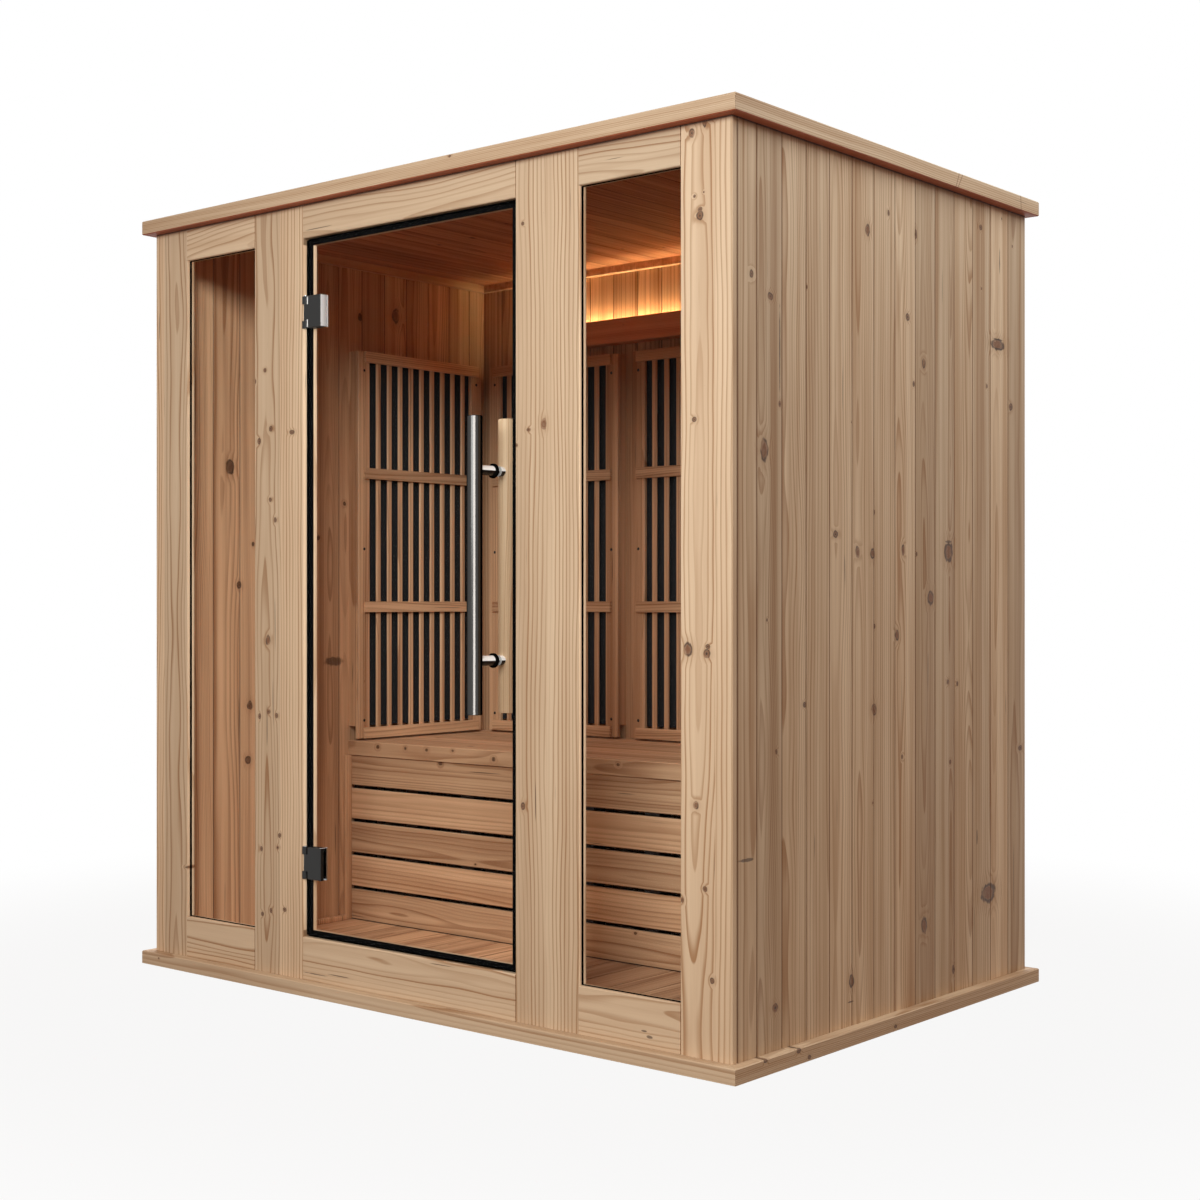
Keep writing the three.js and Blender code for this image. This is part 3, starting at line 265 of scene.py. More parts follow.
# Glazing beads: thin facings of the reveals left of each pane
BEAD_THICK = 0.0006
BEAD_GAP = 0.0002
BEAD_EASE = 0.0002
POST_EASE = 0.002
DOOR_STOP = 0.015

# Lip of the door seal beside the handle post
LIP_REACH = 0.009
LIP_GAP = 0.0002
LIP_END = 0.0148
LIP_EASE = 0.0009

# Glass: share of its reflections that shows
GLASS_SHINE = 0.06

# Door handle
HANDLE_SEGMENTS = 96
TUBE_WALL = 0.003
TUBE_RIM = 0.0028
TUBE_CHAMFER = 0.0012
TUBE_CAP_SUNK = 0.0025
TIMBER_BAR_SWELL = 0.0024
TIMBER_BAR_EASE = 0.002
WASHER_BORE = 0.0052
WASHER_RADIUS = 0.016
WASHER_THICK = 0.008
WASHER_GAP = 0.0001
WASHER_SEGMENTS = 48
EASE_SHARE = 0.3

# Edges sharper than this many degrees stay sharp
SHARP_ANGLE = 35


def srgb(red, green, blue):
    """A colour written as 0 to 255 on a screen, as linear light."""
    def linear(value):
        share = value / 255
        return share / 12.92 if share <= 0.04045 else ((share + 0.055) / 1.055) ** 2.4
    return (linear(red), linear(green), linear(blue), 1.0)


class Graph:
    """A tree of shader nodes. Each call adds one node and returns what comes out of it."""

    def __init__(self, tree):
        self.tree = tree

    def feed(self, socket, value):
        if isinstance(value, bpy.types.NodeSocket):
            self.tree.links.new(value, socket)
        else:
            socket.default_value = value

    def add(self, kind, inputs=None, **settings):
        node = self.tree.nodes.new("ShaderNode" + kind)
        for key, value in settings.items():
            setattr(node, key, value)
        for key, value in (inputs or {}).items():
            self.feed(node.inputs[key], value)
        return node

    def math(self, operation, *values):
        return self.add("Math", dict(enumerate(values)), operation=operation).outputs[0]

    def times(self, first, second):
        return self.math("MULTIPLY", first, second)

    def scale_add(self, value, factor, base):
        return self.math("MULTIPLY_ADD", value, factor, base)

    def rest_of(self, share):
        return self.math("SUBTRACT", 1.0, share)

    def clamp(self, operation, *values):
        return self.add("Math", dict(enumerate(values)), operation=operation, use_clamp=True).outputs[0]

    def point(self, x, y, z):
        return self.add("CombineXYZ", {0: x, 1: y, 2: z}).outputs[0]

    def parts(self, vector):
        return self.add("SeparateXYZ", {0: vector}).outputs

    def noise(self, vector, detail=2.0, roughness=0.5):
        inputs = {"Vector": vector, "Scale": 1.0, "Detail": detail, "Roughness": roughness}
        return self.add("TexNoise", inputs).outputs[0]

    def scaled(self, vector, scales):
        return self.add("VectorMath", {0: vector, 1: scales}, operation="MULTIPLY").outputs[0]

    def chance(self, number, output=0):
        return self.add("TexWhiteNoise", {"W": number}, noise_dimensions="1D").outputs[output]

    def smooth(self, value, low, high):
        node = self.add("MapRange", {0: value, 1: low, 2: high}, interpolation_type="SMOOTHSTEP")
        return node.outputs[0]

    def mix(self, factor, first, second, blend="MIX"):
        node = self.add("Mix", {0: factor, 6: first, 7: second}, data_type="RGBA", blend_type=blend)
        return node.outputs[2]

    def bump(self, height, strength, distance):
        node = self.add("Bump", {"Height": height, "Strength": strength, "Distance": distance})
        return node.outputs[0]


def new_material(name):
    material = bpy.data.materials.new(name)
    material.use_nodes = True
    material.node_tree.nodes.clear()
    return material, Graph(material.node_tree)


def finish_surface(g, shader):
    output = g.add("OutputMaterial")
    g.tree.links.new(shader, output.inputs["Surface"])


def principled(g, **inputs):
    named = {key.replace("_", " ").title().replace("Ior", "IOR"): value for key, value in inputs.items()}
    return g.add("BsdfPrincipled", named).outputs[0]


def object_point(g):
    return g.add("TexCoord").outputs["Object"]


def dress(material, *names):
    for name in names:
        NODES[name].data.materials.clear()
        NODES[name].data.materials.append(material)


# Timber

KNOT_DARK = srgb(48, 26, 15)
CHECK_BROWN = srgb(58, 36, 24)
# Black of deep grooves, and of the painted shade right under the cap
GROOVE_AND_SHADE_BLACK = srgb(26, 13, 9)
TIMBER_NUMBERS = ("Along", "Across", "Offset", "Depth", "Board", "Knots", "Mark", "Check", "Joint", "Figure")
TIMBER_COLOURS = ("Light", "Dark", "Knot")


def timber_group():
    """Softwood: yearly rings round a heart behind the face, streaks, fibres, knots, checks, joints, and
    painted shade that comes in with the joints.
    """
    tree = bpy.data.node_groups.new("timber", "ShaderNodeTree")
    for name in TIMBER_NUMBERS:
        tree.interface.new_socket(name, in_out="INPUT", socket_type="NodeSocketFloat")
    for name in TIMBER_COLOURS:
        tree.interface.new_socket(name, in_out="INPUT", socket_type="NodeSocketColor")
    tree.interface.new_socket("Color", in_out="OUTPUT", socket_type="NodeSocketColor")
    tree.interface.new_socket("Height", in_out="OUTPUT", socket_type="NodeSocketFloat")
    tree.interface.new_socket("Roughness", in_out="OUTPUT", socket_type="NodeSocketFloat")
    g = Graph(tree)
    source = tree.nodes.new("NodeGroupInput").outputs
    target = tree.nodes.new("NodeGroupOutput").inputs
    figure = source["Figure"]

    # Each board is cut from its own place in the tree
    first, second, third = g.parts(g.chance(source["Board"], "Color"))
    along = g.scale_add(first, TREE_LENGTH, source["Along"])
    across = g.scale_add(second, TREE_WIDTH, source["Across"])
    depth = g.scale_add(third, TREE_DEPTH, source["Depth"])

    def stretched(lengthwise, crosswise):
        return g.point(g.times(along, lengthwise), g.times(across, crosswise), g.times(depth, crosswise))

    # Knots: some of the cells hold one, its size drawn by lot
    cell_along = g.times(along, KNOT_STRETCH / KNOT_CELL)
    flat = g.point(cell_along, g.times(across, 1 / KNOT_CELL), 0.0)
    cell = g.add("TexVoronoi", {"Vector": flat, "Scale": 1.0}, voronoi_dimensions="2D", feature="F1").outputs
    lot = g.parts(cell["Color"])[0]
    spare = g.math("SUBTRACT", lot, g.rest_of(source["Knots"]))
    radius = g.math("MAXIMUM", g.times(spare, KNOT_RADIUS), SMALLEST_KNOT)
    span = g.math("DIVIDE", g.times(cell["Distance"], KNOT_CELL), radius)
    ragged = g.scale_add(g.noise(stretched(*RAGGED_SCALE)), 0.8, -0.4)
    near = g.math("ADD", g.math("MINIMUM", span, source["Mark"]), ragged)
    knot = g.rest_of(g.smooth(near, 0.7, 1.2))
    heart = g.rest_of(g.smooth(near, 0.1, 0.55))
    halo = g.rest_of(g.smooth(near, 0.8, 3.0))
    whorl = g.scale_add(g.math("SINE", g.times(near, WHORL_RINGS)), 0.22, 0.7)

    # Yearly rings: distance of a point from the wandering heart of the tree
    wander = g.math("SUBTRACT", g.noise(stretched(*WANDER_SCALE)), 0.5)
    plain = g.rest_of(figure)
    shift = g.times(g.math("SUBTRACT", second, 0.5), 0.16)
    sideways = g.scale_add(shift, plain, source["Offset"])
    sideways = g.scale_add(wander, WANDER, sideways)
    nearest = g.scale_add(figure, FIGURED_HEART_DEPTH, HEART_DEPTH)
    behind = g.scale_add(third, g.scale_add(plain, 0.044, 0.006), nearest)
    behind = g.scale_add(wander, g.scale_add(figure, WANDER, WANDER), behind)
    reach = g.math("ADD", g.times(sideways, sideways), g.times(behind, behind))
    reach = g.math("SQRT", reach)
    warp = g.math("SUBTRACT", g.noise(stretched(*WARP_SCALE)), 0.5)
    reach = g.scale_add(warp, g.scale_add(figure, 0.012, 0.008), reach)
    reach = g.scale_add(halo, 0.006, reach)
    variety = g.scale_add(plain, 1.4 * RING, 0.5 * RING)
    narrowest = g.scale_add(figure, 1.3 * RING, 0.8 * RING)
    spacing = g.scale_add(g.times(first, first), variety, narrowest)
    count = g.math("DIVIDE", reach, spacing)
    ring = g.math("FRACT", count)
    season = g.chance(g.math("ADD", g.math("FLOOR", count), g.times(source["Board"], YEAR_STEP)))
    summer = g.scale_add(figure, 0.17, 0.35)
    late = g.math("SUBTRACT", g.smooth(ring, summer, 0.92), g.smooth(ring, 0.94, 1.0))

    # Tone: dark late wood of each year, streaks, bands, fibres and clouds
    streak = g.smooth(g.noise(stretched(*STREAK_SCALE), 3.0, 0.6), 0.3, 0.7)
    band = g.smooth(g.noise(stretched(*BAND_SCALE), 1.0), 0.52, 0.74)
    fibre = g.noise(stretched(*FIBRE_SCALE))
    cloud = g.noise(stretched(*CLOUD_SCALE))
    tone = g.scale_add(figure, 0.09, -0.22)
    contrast = g.scale_add(figure, 0.12, 0.38)
    weight = g.times(contrast, g.scale_add(season, 1.3, 0.35))
    tone = g.scale_add(late, weight, tone)
    tone = g.scale_add(streak, g.scale_add(figure, -0.26, 0.44), tone)
    tone = g.scale_add(band, g.scale_add(figure, -0.2, 0.34), tone)
    tone = g.scale_add(fibre, 0.16, tone)
    tone = g.clamp("MULTIPLY_ADD", cloud, 0.34, tone)
    color = g.mix(tone, source["Light"], source["Dark"])
    level = g.scale_add(g.chance(g.math("ADD", source["Board"], 17.3)), BOARD_RANGE, DARKEST_BOARD)
    color = g.mix(1.0, color, g.point(level, level, level), "MULTIPLY")

    # Knots, checks and joints over the grain, and the painted shade under the cap, which comes in with the
    # joints
    color = g.mix(g.times(halo, 0.28), color, source["Dark"])
    color = g.mix(g.times(knot, whorl), color, source["Knot"])
    color = g.mix(g.times(heart, 0.85), color, KNOT_DARK)
    bark = g.times(g.smooth(near, 0.55, 0.8), g.rest_of(g.smooth(near, 0.95, 1.2)))
    bark = g.times(bark, g.smooth(g.noise(stretched(*BARK_SCALE)), 0.35, 0.55))
    color = g.mix(g.times(bark, 0.75), color, KNOT_DARK)
    crack = g.rest_of(g.smooth(g.math("ADD", source["Check"], ragged), 0.6, 1.0))
    check = g.math("MAXIMUM", g.smooth(g.noise(stretched(*CHECK_SCALE), 1.0), 0.76, 0.81), crack)
    color = g.mix(g.times(check, 0.72), color, CHECK_BROWN)
    # Joints darken towards the knot colour and turn black above 1: grooves, and the painted shade under the
    # cap
    color = g.mix(g.times(source["Joint"], 0.62), color, source["Knot"])
    deep = g.clamp("MULTIPLY", g.math("SUBTRACT", source["Joint"], 1.0), 2.2)
    color = g.mix(deep, color, GROOVE_AND_SHADE_BLACK)
    g.tree.links.new(color, target["Color"])

    height = g.scale_add(late, -0.5, g.times(fibre, 0.5))
    height = g.scale_add(check, -1.2, height)
    g.tree.links.new(height, target["Height"])
    g.tree.links.new(g.scale_add(streak, 0.16, 0.46), target["Roughness"])
    return tree


TIMBER = timber_group()

# Tones of the timber: early wood, late wood and knots
PALE = {"light": srgb(229, 203, 171), "dark": srgb(168, 126, 89), "knot": srgb(118, 70, 40)}
WARM = {"light": srgb(224, 180, 140), "dark": srgb(158, 110, 75), "knot": srgb(84, 48, 30)}
AMBER = {"light": srgb(231, 190, 151), "dark": srgb(170, 122, 86), "knot": srgb(92, 54, 34)}
BLOND = {"light": srgb(255, 224, 184), "dark": srgb(208, 158, 115), "knot": srgb(104, 64, 40)}
# Darker tone of the floor boards at the right: painted shade
PAINTED_FLOOR_SHADE = {"light": srgb(188, 150, 117), "dark": srgb(132, 91, 62), "knot": srgb(72, 42, 27)}
# Near-black timber where shade falls, on the bench frame and the battens behind the fascia: painted shade
PAINTED_SHADE_DARK = {"light": srgb(52, 36, 26), "dark": srgb(30, 20, 15), "knot": srgb(16, 10, 8)}
# Ceiling tone, redder than the walls: painted warm light of the strip
PAINTED_GLOW = {"light": srgb(205, 139, 99), "dark": srgb(144, 86, 57), "knot": srgb(78, 42, 27)}
# Pelmet tone, more orange than the walls: painted warm light of the strip
PAINTED_PELMET_GLOW = {"light": srgb(252, 180, 138), "dark": srgb(200, 126, 90), "knot": srgb(96, 56, 40)}
# Dark red-brown of faces that look down: painted shade
PAINTED_UNDERSIDE_SHADE = {"light": srgb(178, 96, 62), "dark": srgb(150, 78, 50), "knot": srgb(90, 46, 28)}


def boards_by_pitch(g, across, start, pitch):
    """Board number, and how far a point lies from the middle of its board."""
    place = g.math("DIVIDE", g.math("SUBTRACT", across, start), pitch)
    number = g.math("FLOOR", place)
    offset = g.times(g.math("SUBTRACT", g.math("FRACT", place), 0.5), pitch)
    return number, offset


def boards_by_seams(g, across, seams):
    """Board number counted from the seams that lie before a point."""
    number = 0.0
    for seam in seams:
        number = g.math("ADD", g.math("GREATER_THAN", across, seam), number)
    return number


def marks(g, along, across, spots, core=0.0):
    """Nearest of the spots given as (along, across, half length, half width), in shares of its own size.
    Within a large spot the share doesn't fall below the core, so that it stays brown to its middle."""
    nearest = FAR_OFF
    for at, beside, half_length, half_width in spots:
        lengthwise = g.math("DIVIDE", g.math("SUBTRACT", along, at), half_length)
        crosswise = g.math("DIVIDE", g.math("SUBTRACT", across, beside), half_width)
        gap = g.scale_add(lengthwise, lengthwise, g.times(crosswise, crosswise))
        gap = g.math("SQRT", gap)
        if half_length > LARGE_KNOT:
            gap = g.math("MAXIMUM", gap, core)
        nearest = g.math("MINIMUM", gap, nearest)
    return nearest


def painted_cap_shade(g, height):
    """Painted shade on the walls towards the foot of the cap boards."""
    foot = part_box("cap_front")[0].z
    share = g.math("POWER", g.smooth(height, foot - CAP_SHADE, foot), CAP_SHADE_CURVE)
    return g.times(share, CAP_SHADE_DEPTH)


def face_normal(g):
    return g.parts(g.add("TexCoord").outputs["Normal"])


# Places with tones of their own, where light or shade is painted, and the outer face of the roof: each
# function gives 1 there, otherwise 0

def painted_underside(g, xyz):
    """Faces that look down, where shade is painted."""
    return g.math("LESS_THAN", face_normal(g)[2], -0.5)


def painted_lit_front(g, xyz):
    """Faces that look to the front, painted lighter as lit."""
    return g.math("LESS_THAN", face_normal(g)[1], -0.5)


def above_roof(g, xyz):
    """Upper face of the roof boards."""
    return g.math("GREATER_THAN", face_normal(g)[2], 0.5)


def behind_fascia(g, xyz):
    """Battens behind the boards of the bench front, painted dark as shade."""
    return g.math("GREATER_THAN", xyz[1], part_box("bench_fascia")[0].y + FASCIA_FACE)


def painted_floor_shade_right(g, xyz):
    """Floor boards at the right of the cabin, painted darker as shade."""
    return g.math("GREATER_THAN", xyz[0], FLOOR_SHADE_FROM_X)


def blended(g, share, tones, other_tones):
    return {part: g.mix(share, tones[part], other_tones[part]) for part in tones}


def timber_surface(g, tones, place, board, knots, mark=FAR_OFF, check=FAR_OFF, joint_and_shade=0.0, figure=0.0,
                   shine=0.35):
    """Place holds the distances along, across, off the middle of the board, and into it."""
    node = g.tree.nodes.new("ShaderNodeGroup")
    node.node_tree = TIMBER
    values = dict(zip(("Along", "Across", "Offset", "Depth"), place))
    values.update({
        "Board": board, "Knots": knots, "Mark": mark, "Check": check, "Joint": joint_and_shade, "Figure": figure,
        "Light": tones["light"], "Dark": tones["dark"], "Knot": tones["knot"],
    })
    for name, value in values.items():
        g.feed(node.inputs[name], value)
    shader = principled(g, base_color=node.outputs["Color"], roughness=node.outputs["Roughness"],
                        specular_ior_level=shine, normal=g.bump(node.outputs["Height"], 0.4, 0.0007))
    finish_surface(g, shader)


def pitched_timber(name, tones, axes, start, pitch, knots, seed=0.0, spots=(), checks=(), edge_spots=(),
                   outside=False, seam=None, seam_depth=1.0, groove=1.0, other_tones=None, where=None,
                   shine=0.35):
    """Boards side by side. Axes are the grain's axis, the axis across the boards and the depth's axis.
    A groove above 1 makes the joints darker, a seam is one more joint where the boards end."""
    material, g = new_material(name)
    xyz = g.parts(object_point(g))
    along, across, depth = (xyz["XYZ".index(axis)] for axis in axes)
    number, offset = boards_by_pitch(g, across, start, pitch)
    board = g.math("ADD", number, seed)
    joint_and_shade = g.smooth(g.math("ABSOLUTE", offset), pitch / 2 - JOINT_REACH, pitch / 2 - 0.4 * JOINT_REACH)
    from_start = g.math("ABSOLUTE", g.math("SUBTRACT", across, start))
    joint_and_shade = g.times(joint_and_shade, g.math("GREATER_THAN", from_start, pitch / 2))
    joint_and_shade = g.times(joint_and_shade, groove)
    if seam is not None:
        from_seam = g.math("ABSOLUTE", g.math("SUBTRACT", across, seam))
        at_seam = g.rest_of(g.smooth(from_seam, *SEAM_FADE))
        joint_and_shade = g.math("MAXIMUM", joint_and_shade, g.times(at_seam, seam_depth))
    # Outside boards get painted shade towards the foot of the cap
    if outside:
        joint_and_shade = g.math("MAXIMUM", joint_and_shade, painted_cap_shade(g, xyz[2]))
    if other_tones:
        tones = blended(g, where(g, xyz), tones, other_tones)
    mark = marks(g, along, across, spots, LARGE_KNOT_CORE)
    mark = g.math("MINIMUM", mark, marks(g, along, depth, edge_spots))
    check = marks(g, along, across, checks)
    timber_surface(g, tones, (along, across, offset, depth), board, knots, mark, check, joint_and_shade, shine=shine)
    return material


def end_joints(g, along, across, cuts):
    """Lines where boards meet end to end; each cut has its place along, at mid height, and its slant."""
    line = 0.0
    for at, slant in cuts:
        place = g.scale_add(g.math("SUBTRACT", across, CAP_MIDDLE), slant, at)
        away = g.math("ABSOLUTE", g.math("SUBTRACT", along, place))
        line = g.math("MAXIMUM", g.rest_of(g.smooth(away, *CUT_FADE)), line)
    from_middle = g.math("ABSOLUTE", g.math("SUBTRACT", across, CAP_MIDDLE))
    return g.times(line, g.math("LESS_THAN", from_middle, CAP_HALF))


def seamed_timber(name, tones, axes, seams, knots, seed=0.0, other_axis=None, other_seams=(), spots=(),
                  checks=(), hearts=(), shade=None, cuts=()):
    """Single boards and glued posts, told apart by seams across them and along another axis."""
    material, g = new_material(name)
    xyz = g.parts(object_point(g))
    along, across, depth = (xyz["XYZ".index(axis)] for axis in axes)
    number = boards_by_seams(g, across, seams)
    if other_axis:
        rows = boards_by_seams(g, xyz["XYZ".index(other_axis)], other_seams)
        number = g.scale_add(rows, 9.0, number)
    board = g.math("ADD", number, seed)
    offset = across
    if hearts:
        heart = hearts[0]
        for seam, before, after in zip(seams, hearts, hearts[1:]):
            heart = g.scale_add(g.math("GREATER_THAN", across, seam), after - before, heart)
        offset = g.math("SUBTRACT", across, heart)
    joint_and_shade = 0.0
    # Walls get painted shade towards the foot of the cap
    if shade == "wall":
        joint_and_shade = painted_cap_shade(g, xyz[2])
    # Cap boards get painted shade on the faces that look down, and lines at their end joints
    if shade == "cap":
        tones = blended(g, painted_underside(g, xyz), tones, PAINTED_UNDERSIDE_SHADE)
        joint_and_shade = end_joints(g, along, across, cuts)
    mark = marks(g, along, across, spots, LARGE_KNOT_CORE)
    check = marks(g, along, across, checks)
    timber_surface(g, tones, (along, across, offset, depth), board, knots, mark, check, joint_and_shade,
                   figure=1.0 if hearts else 0.0)
    return material


def guard_timber(name, depth_axis, wall, facing, seed):
    """Slatted guard: upright grain in the slats and stiles, level grain in the rails that stand proud."""
    material, g = new_material(name)
    xyz = g.parts(object_point(g))
    beside = xyz["XYZ".index("Y" if depth_axis == "X" else "X")]
    depth = xyz["XYZ".index(depth_axis)]
    proud = g.times(g.math("SUBTRACT", depth, wall), facing)
    rail = g.math("GREATER_THAN", proud, GUARD_LAYER + GUARD_SKIN)
    number, offset = boards_by_pitch(g, beside, 0.0, SLAT_PITCH)
    level, rise = boards_by_pitch(g, xyz[2], 0.0, RAIL_SPACING)

    def either(upright, lying):
        return g.scale_add(rail, g.math("SUBTRACT", lying, upright), upright)

    along = either(xyz[2], beside)
    across = either(beside, xyz[2])
    board = g.math("ADD", either(number, g.math("ADD", level, 60.0)), seed)
    timber_surface(g, WARM, (along, across, either(offset, rise), depth), board, 0.12)
    return material


def dress_outside():
    dress(pitched_timber("side_boards", PALE, "ZYX", CLADDING_BACK, BOARD_PITCH, 0.2, 3.0, SIDE_KNOTS,
                         SIDE_CHECKS, outside=True, seam=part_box("right_wall_cladding")[0].y),
          "right_wall_cladding", "left_wall_cladding")
    dress(pitched_timber("back_boards", PALE, "ZXY", 0.0, BOARD_PITCH, 0.42, 40.0, outside=True),
          "back_wall_cladding")
    dress(seamed_timber("posts", PALE, "ZXY", POST_SEAMS, 0.0, 70.0, spots=POST_KNOTS, hearts=POST_HEARTS,
                        shade="wall"),
          "left_corner_stile", "right_corner_stile", "hinge_post", "handle_post")
    dress(seamed_timber("rails", PALE, "XZY", MID_HEIGHT, 0.16, 80.0, "X", DOOR_SIDES, checks=RAIL_CHECKS,
                        hearts=RAIL_HEARTS, shade="wall"),
          "left_window_head", "left_window_sill", "right_window_head", "right_window_sill",
          "door_head", "door_sill")
    dress(seamed_timber("long_edges", PALE, "XZY", MID_HEIGHT, 0.16, 90.0, "Y", MIDDLE, shade="cap"),
          "cap_front", "cap_back", "plinth_front", "plinth_back")
    dress(seamed_timber("short_edges", PALE, "YZX", MID_HEIGHT, 0.16, 110.0, "X", MIDDLE, PLINTH_KNOTS,
                        shade="cap", cuts=CAP_CUTS),
          "cap_left", "cap_right", "plinth_left", "plinth_right")


def dress_room():
    dress(pitched_timber("left_lining", WARM, "ZYX", LINING_BACK, BOARD_PITCH, 0.2, 130.0, LINING_KNOTS,
                         LINING_CHECKS),
          "left_wall_lining")
    dress(pitched_timber("right_lining", WARM, "ZYX", LINING_BACK, BOARD_PITCH, 0.3, 145.0),
          "right_wall_lining")
    dress(pitched_timber("back_lining", WARM, "ZXY", 0.0, BOARD_PITCH, 0.3, 160.0),
          "back_wall_lining")
    # The ceiling gets the painted warm light of the strip; its outer face is plain
    dress(pitched_timber("ceiling", PAINTED_GLOW, "YXZ", 0.0, BOARD_PITCH, 0.3, 190.0,
                         other_tones=PALE, where=above_roof, shine=0.1),
          "roof_panel")
    # Floor boards at the right are painted darker as shade
    dress(pitched_timber("floor_boards", WARM, "YXZ", 0.0, FLOOR_PITCH, 0.3, 220.0,
                         groove=FLOOR_GROOVE, other_tones=PAINTED_FLOOR_SHADE, where=painted_floor_shade_right),
          "floor_deck")
    # The pelmet board gets the painted warm light of the strip
    dress(seamed_timber("pelmet_board", PAINTED_PELMET_GLOW, "XZY", (), 0.2, 290.0), "led_pelmet")
    dress(seamed_timber("handle_timber", BLOND, "ZXY", (), 0.0, 300.0), "inner_handle_bar")


def dress_bench():
    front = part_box("bench_top")[0].y
    # The front edge of the bench top is painted lighter than its top, as light falls on it
    dress(pitched_timber("bench_boards", WARM, "XYZ", front, BENCH_PITCH, 0.3, 250.0,
                         edge_spots=BENCH_KNOTS, other_tones=AMBER, where=painted_lit_front),
          "bench_top")
    # The bench frame is painted near-black as shade
    dress(pitched_timber("bench_bearers", PAINTED_SHADE_DARK, "XYZ", front, BENCH_PITCH, 0.3, 260.0), "bench_frame")
    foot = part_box("bench_fascia")[0].z
    # Battens behind the fascia are painted near-black as shade
    dress(pitched_timber("fascia_boards", AMBER, "XZY", foot - FASCIA_PITCH, FASCIA_PITCH, 0.3, 270.0,
                         seam=foot, seam_depth=FASCIA_FOOT_GROOVE, other_tones=PAINTED_SHADE_DARK, where=behind_fascia),
          "bench_fascia")


def dress_guards():
    back_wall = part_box("back_wall_lining")[0].y
    dress(guard_timber("back_guards", "Y", back_wall, -1.0, 310.0),
          "back_left_heater_guard", "back_middle_heater_guard", "back_right_heater_guard")
    left_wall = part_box("left_wall_lining")[1].x
    dress(guard_timber("left_guard", "X", left_wall, 1.0, 350.0), "left_heater_guard")
    dress(guard_timber("right_guard", "X", -left_wall, -1.0, 390.0), "right_heater_guard")


# Glass, metal, rubber and plastic

def glass():
    """Clear pane: little more than its reflections, with dark cut edges."""
    material, g = new_material("clear_glass")
    clear = g.add("BsdfTransparent", {"Color": (0.98, 0.985, 0.982, 1.0)}).outputs[0]
    smear = g.times(g.noise(g.scaled(object_point(g), (3.0, 3.0, 3.0))), 0.03)
    shine = g.add("BsdfGlossy", {"Color": (1, 1, 1, 1), "Roughness": smear}).outputs[0]
    geometry = g.add("NewGeometry").outputs
    outside = g.rest_of(geometry["Backfacing"])
    angle = g.times(g.add("Fresnel", {"IOR": 1.45}).outputs[0], outside)
    sheet = g.add("MixShader", {0: g.times(angle, GLASS_SHINE), 1: clear, 2: shine}).outputs[0]
    cut = principled(g, base_color=srgb(5, 6, 6), roughness=0.5, specular_ior_level=0.02)
    edge = g.math("LESS_THAN", g.math("ABSOLUTE", face_normal(g)[1]), 0.5)
    finish_surface(g, g.add("MixShader", {0: edge, 1: sheet, 2: cut}).outputs[0])
    return material


def metal(name, color, roughness, grain, polish=1.0, rim=1.0):
    """Metal with fine marks. Grain is their number per metre along X, Y and Z, rim its shine at a low angle,
    and polish is 0 for a painted face."""
    material, g = new_material(name)
    lines = g.noise(g.scaled(object_point(g), grain), 3.0)
    cloud = g.noise(g.scaled(object_point(g), (18, 18, 18)))
    rough = g.scale_add(lines, 0.14, g.scale_add(cloud, 0.08, roughness - 0.11))
    darker = tuple(0.82 * part for part in color[:3]) + (1.0,)
    shader = principled(g, base_color=g.mix(lines, darker, color), metallic=polish, roughness=rough,
                        specular_tint=(rim, rim, rim, 1.0), normal=g.bump(lines, 0.08, 0.0003))
    finish_surface(g, shader)
    return material


def chrome():
    """Polished steel with a painted reflection, bright where the face looks up and dark where it looks down.
    """
    material, g = new_material("polished")
    haze = g.noise(g.scaled(object_point(g), (400, 60, 400)), 3.0)
    # Painted reflection: near-white where the face looks up, near-black where it looks down
    painted_reflection = g.smooth(g.scale_add(haze, 0.06, face_normal(g)[2]), -0.08, 0.14)
    color = g.mix(painted_reflection, srgb(30, 24, 20), srgb(250, 249, 247))
    rough = g.scale_add(haze, 0.1, 0.2)
    finish_surface(g, principled(g, base_color=color, metallic=0.25, roughness=rough))
    return material


def moulded(name, color, roughness, grain, relief, shine=0.5):
    """Rubber, powder coat or plastic with a fine skin."""
    material, g = new_material(name)
    skin = g.noise(g.scaled(object_point(g), (grain, grain, grain)), 3.0)
    dust = g.noise(g.scaled(object_point(g), (9, 9, 9)), 3.0)
    lighter = tuple(min(1.0, 1.5 * part + 0.004) for part in color[:3]) + (1.0,)
    shader = principled(g, base_color=g.mix(g.times(dust, 0.6), color, lighter),
                        roughness=g.scale_add(dust, 0.16, roughness - 0.08),
                        specular_ior_level=shine, normal=g.bump(skin, relief, 0.0004))
    finish_surface(g, shader)
    return material


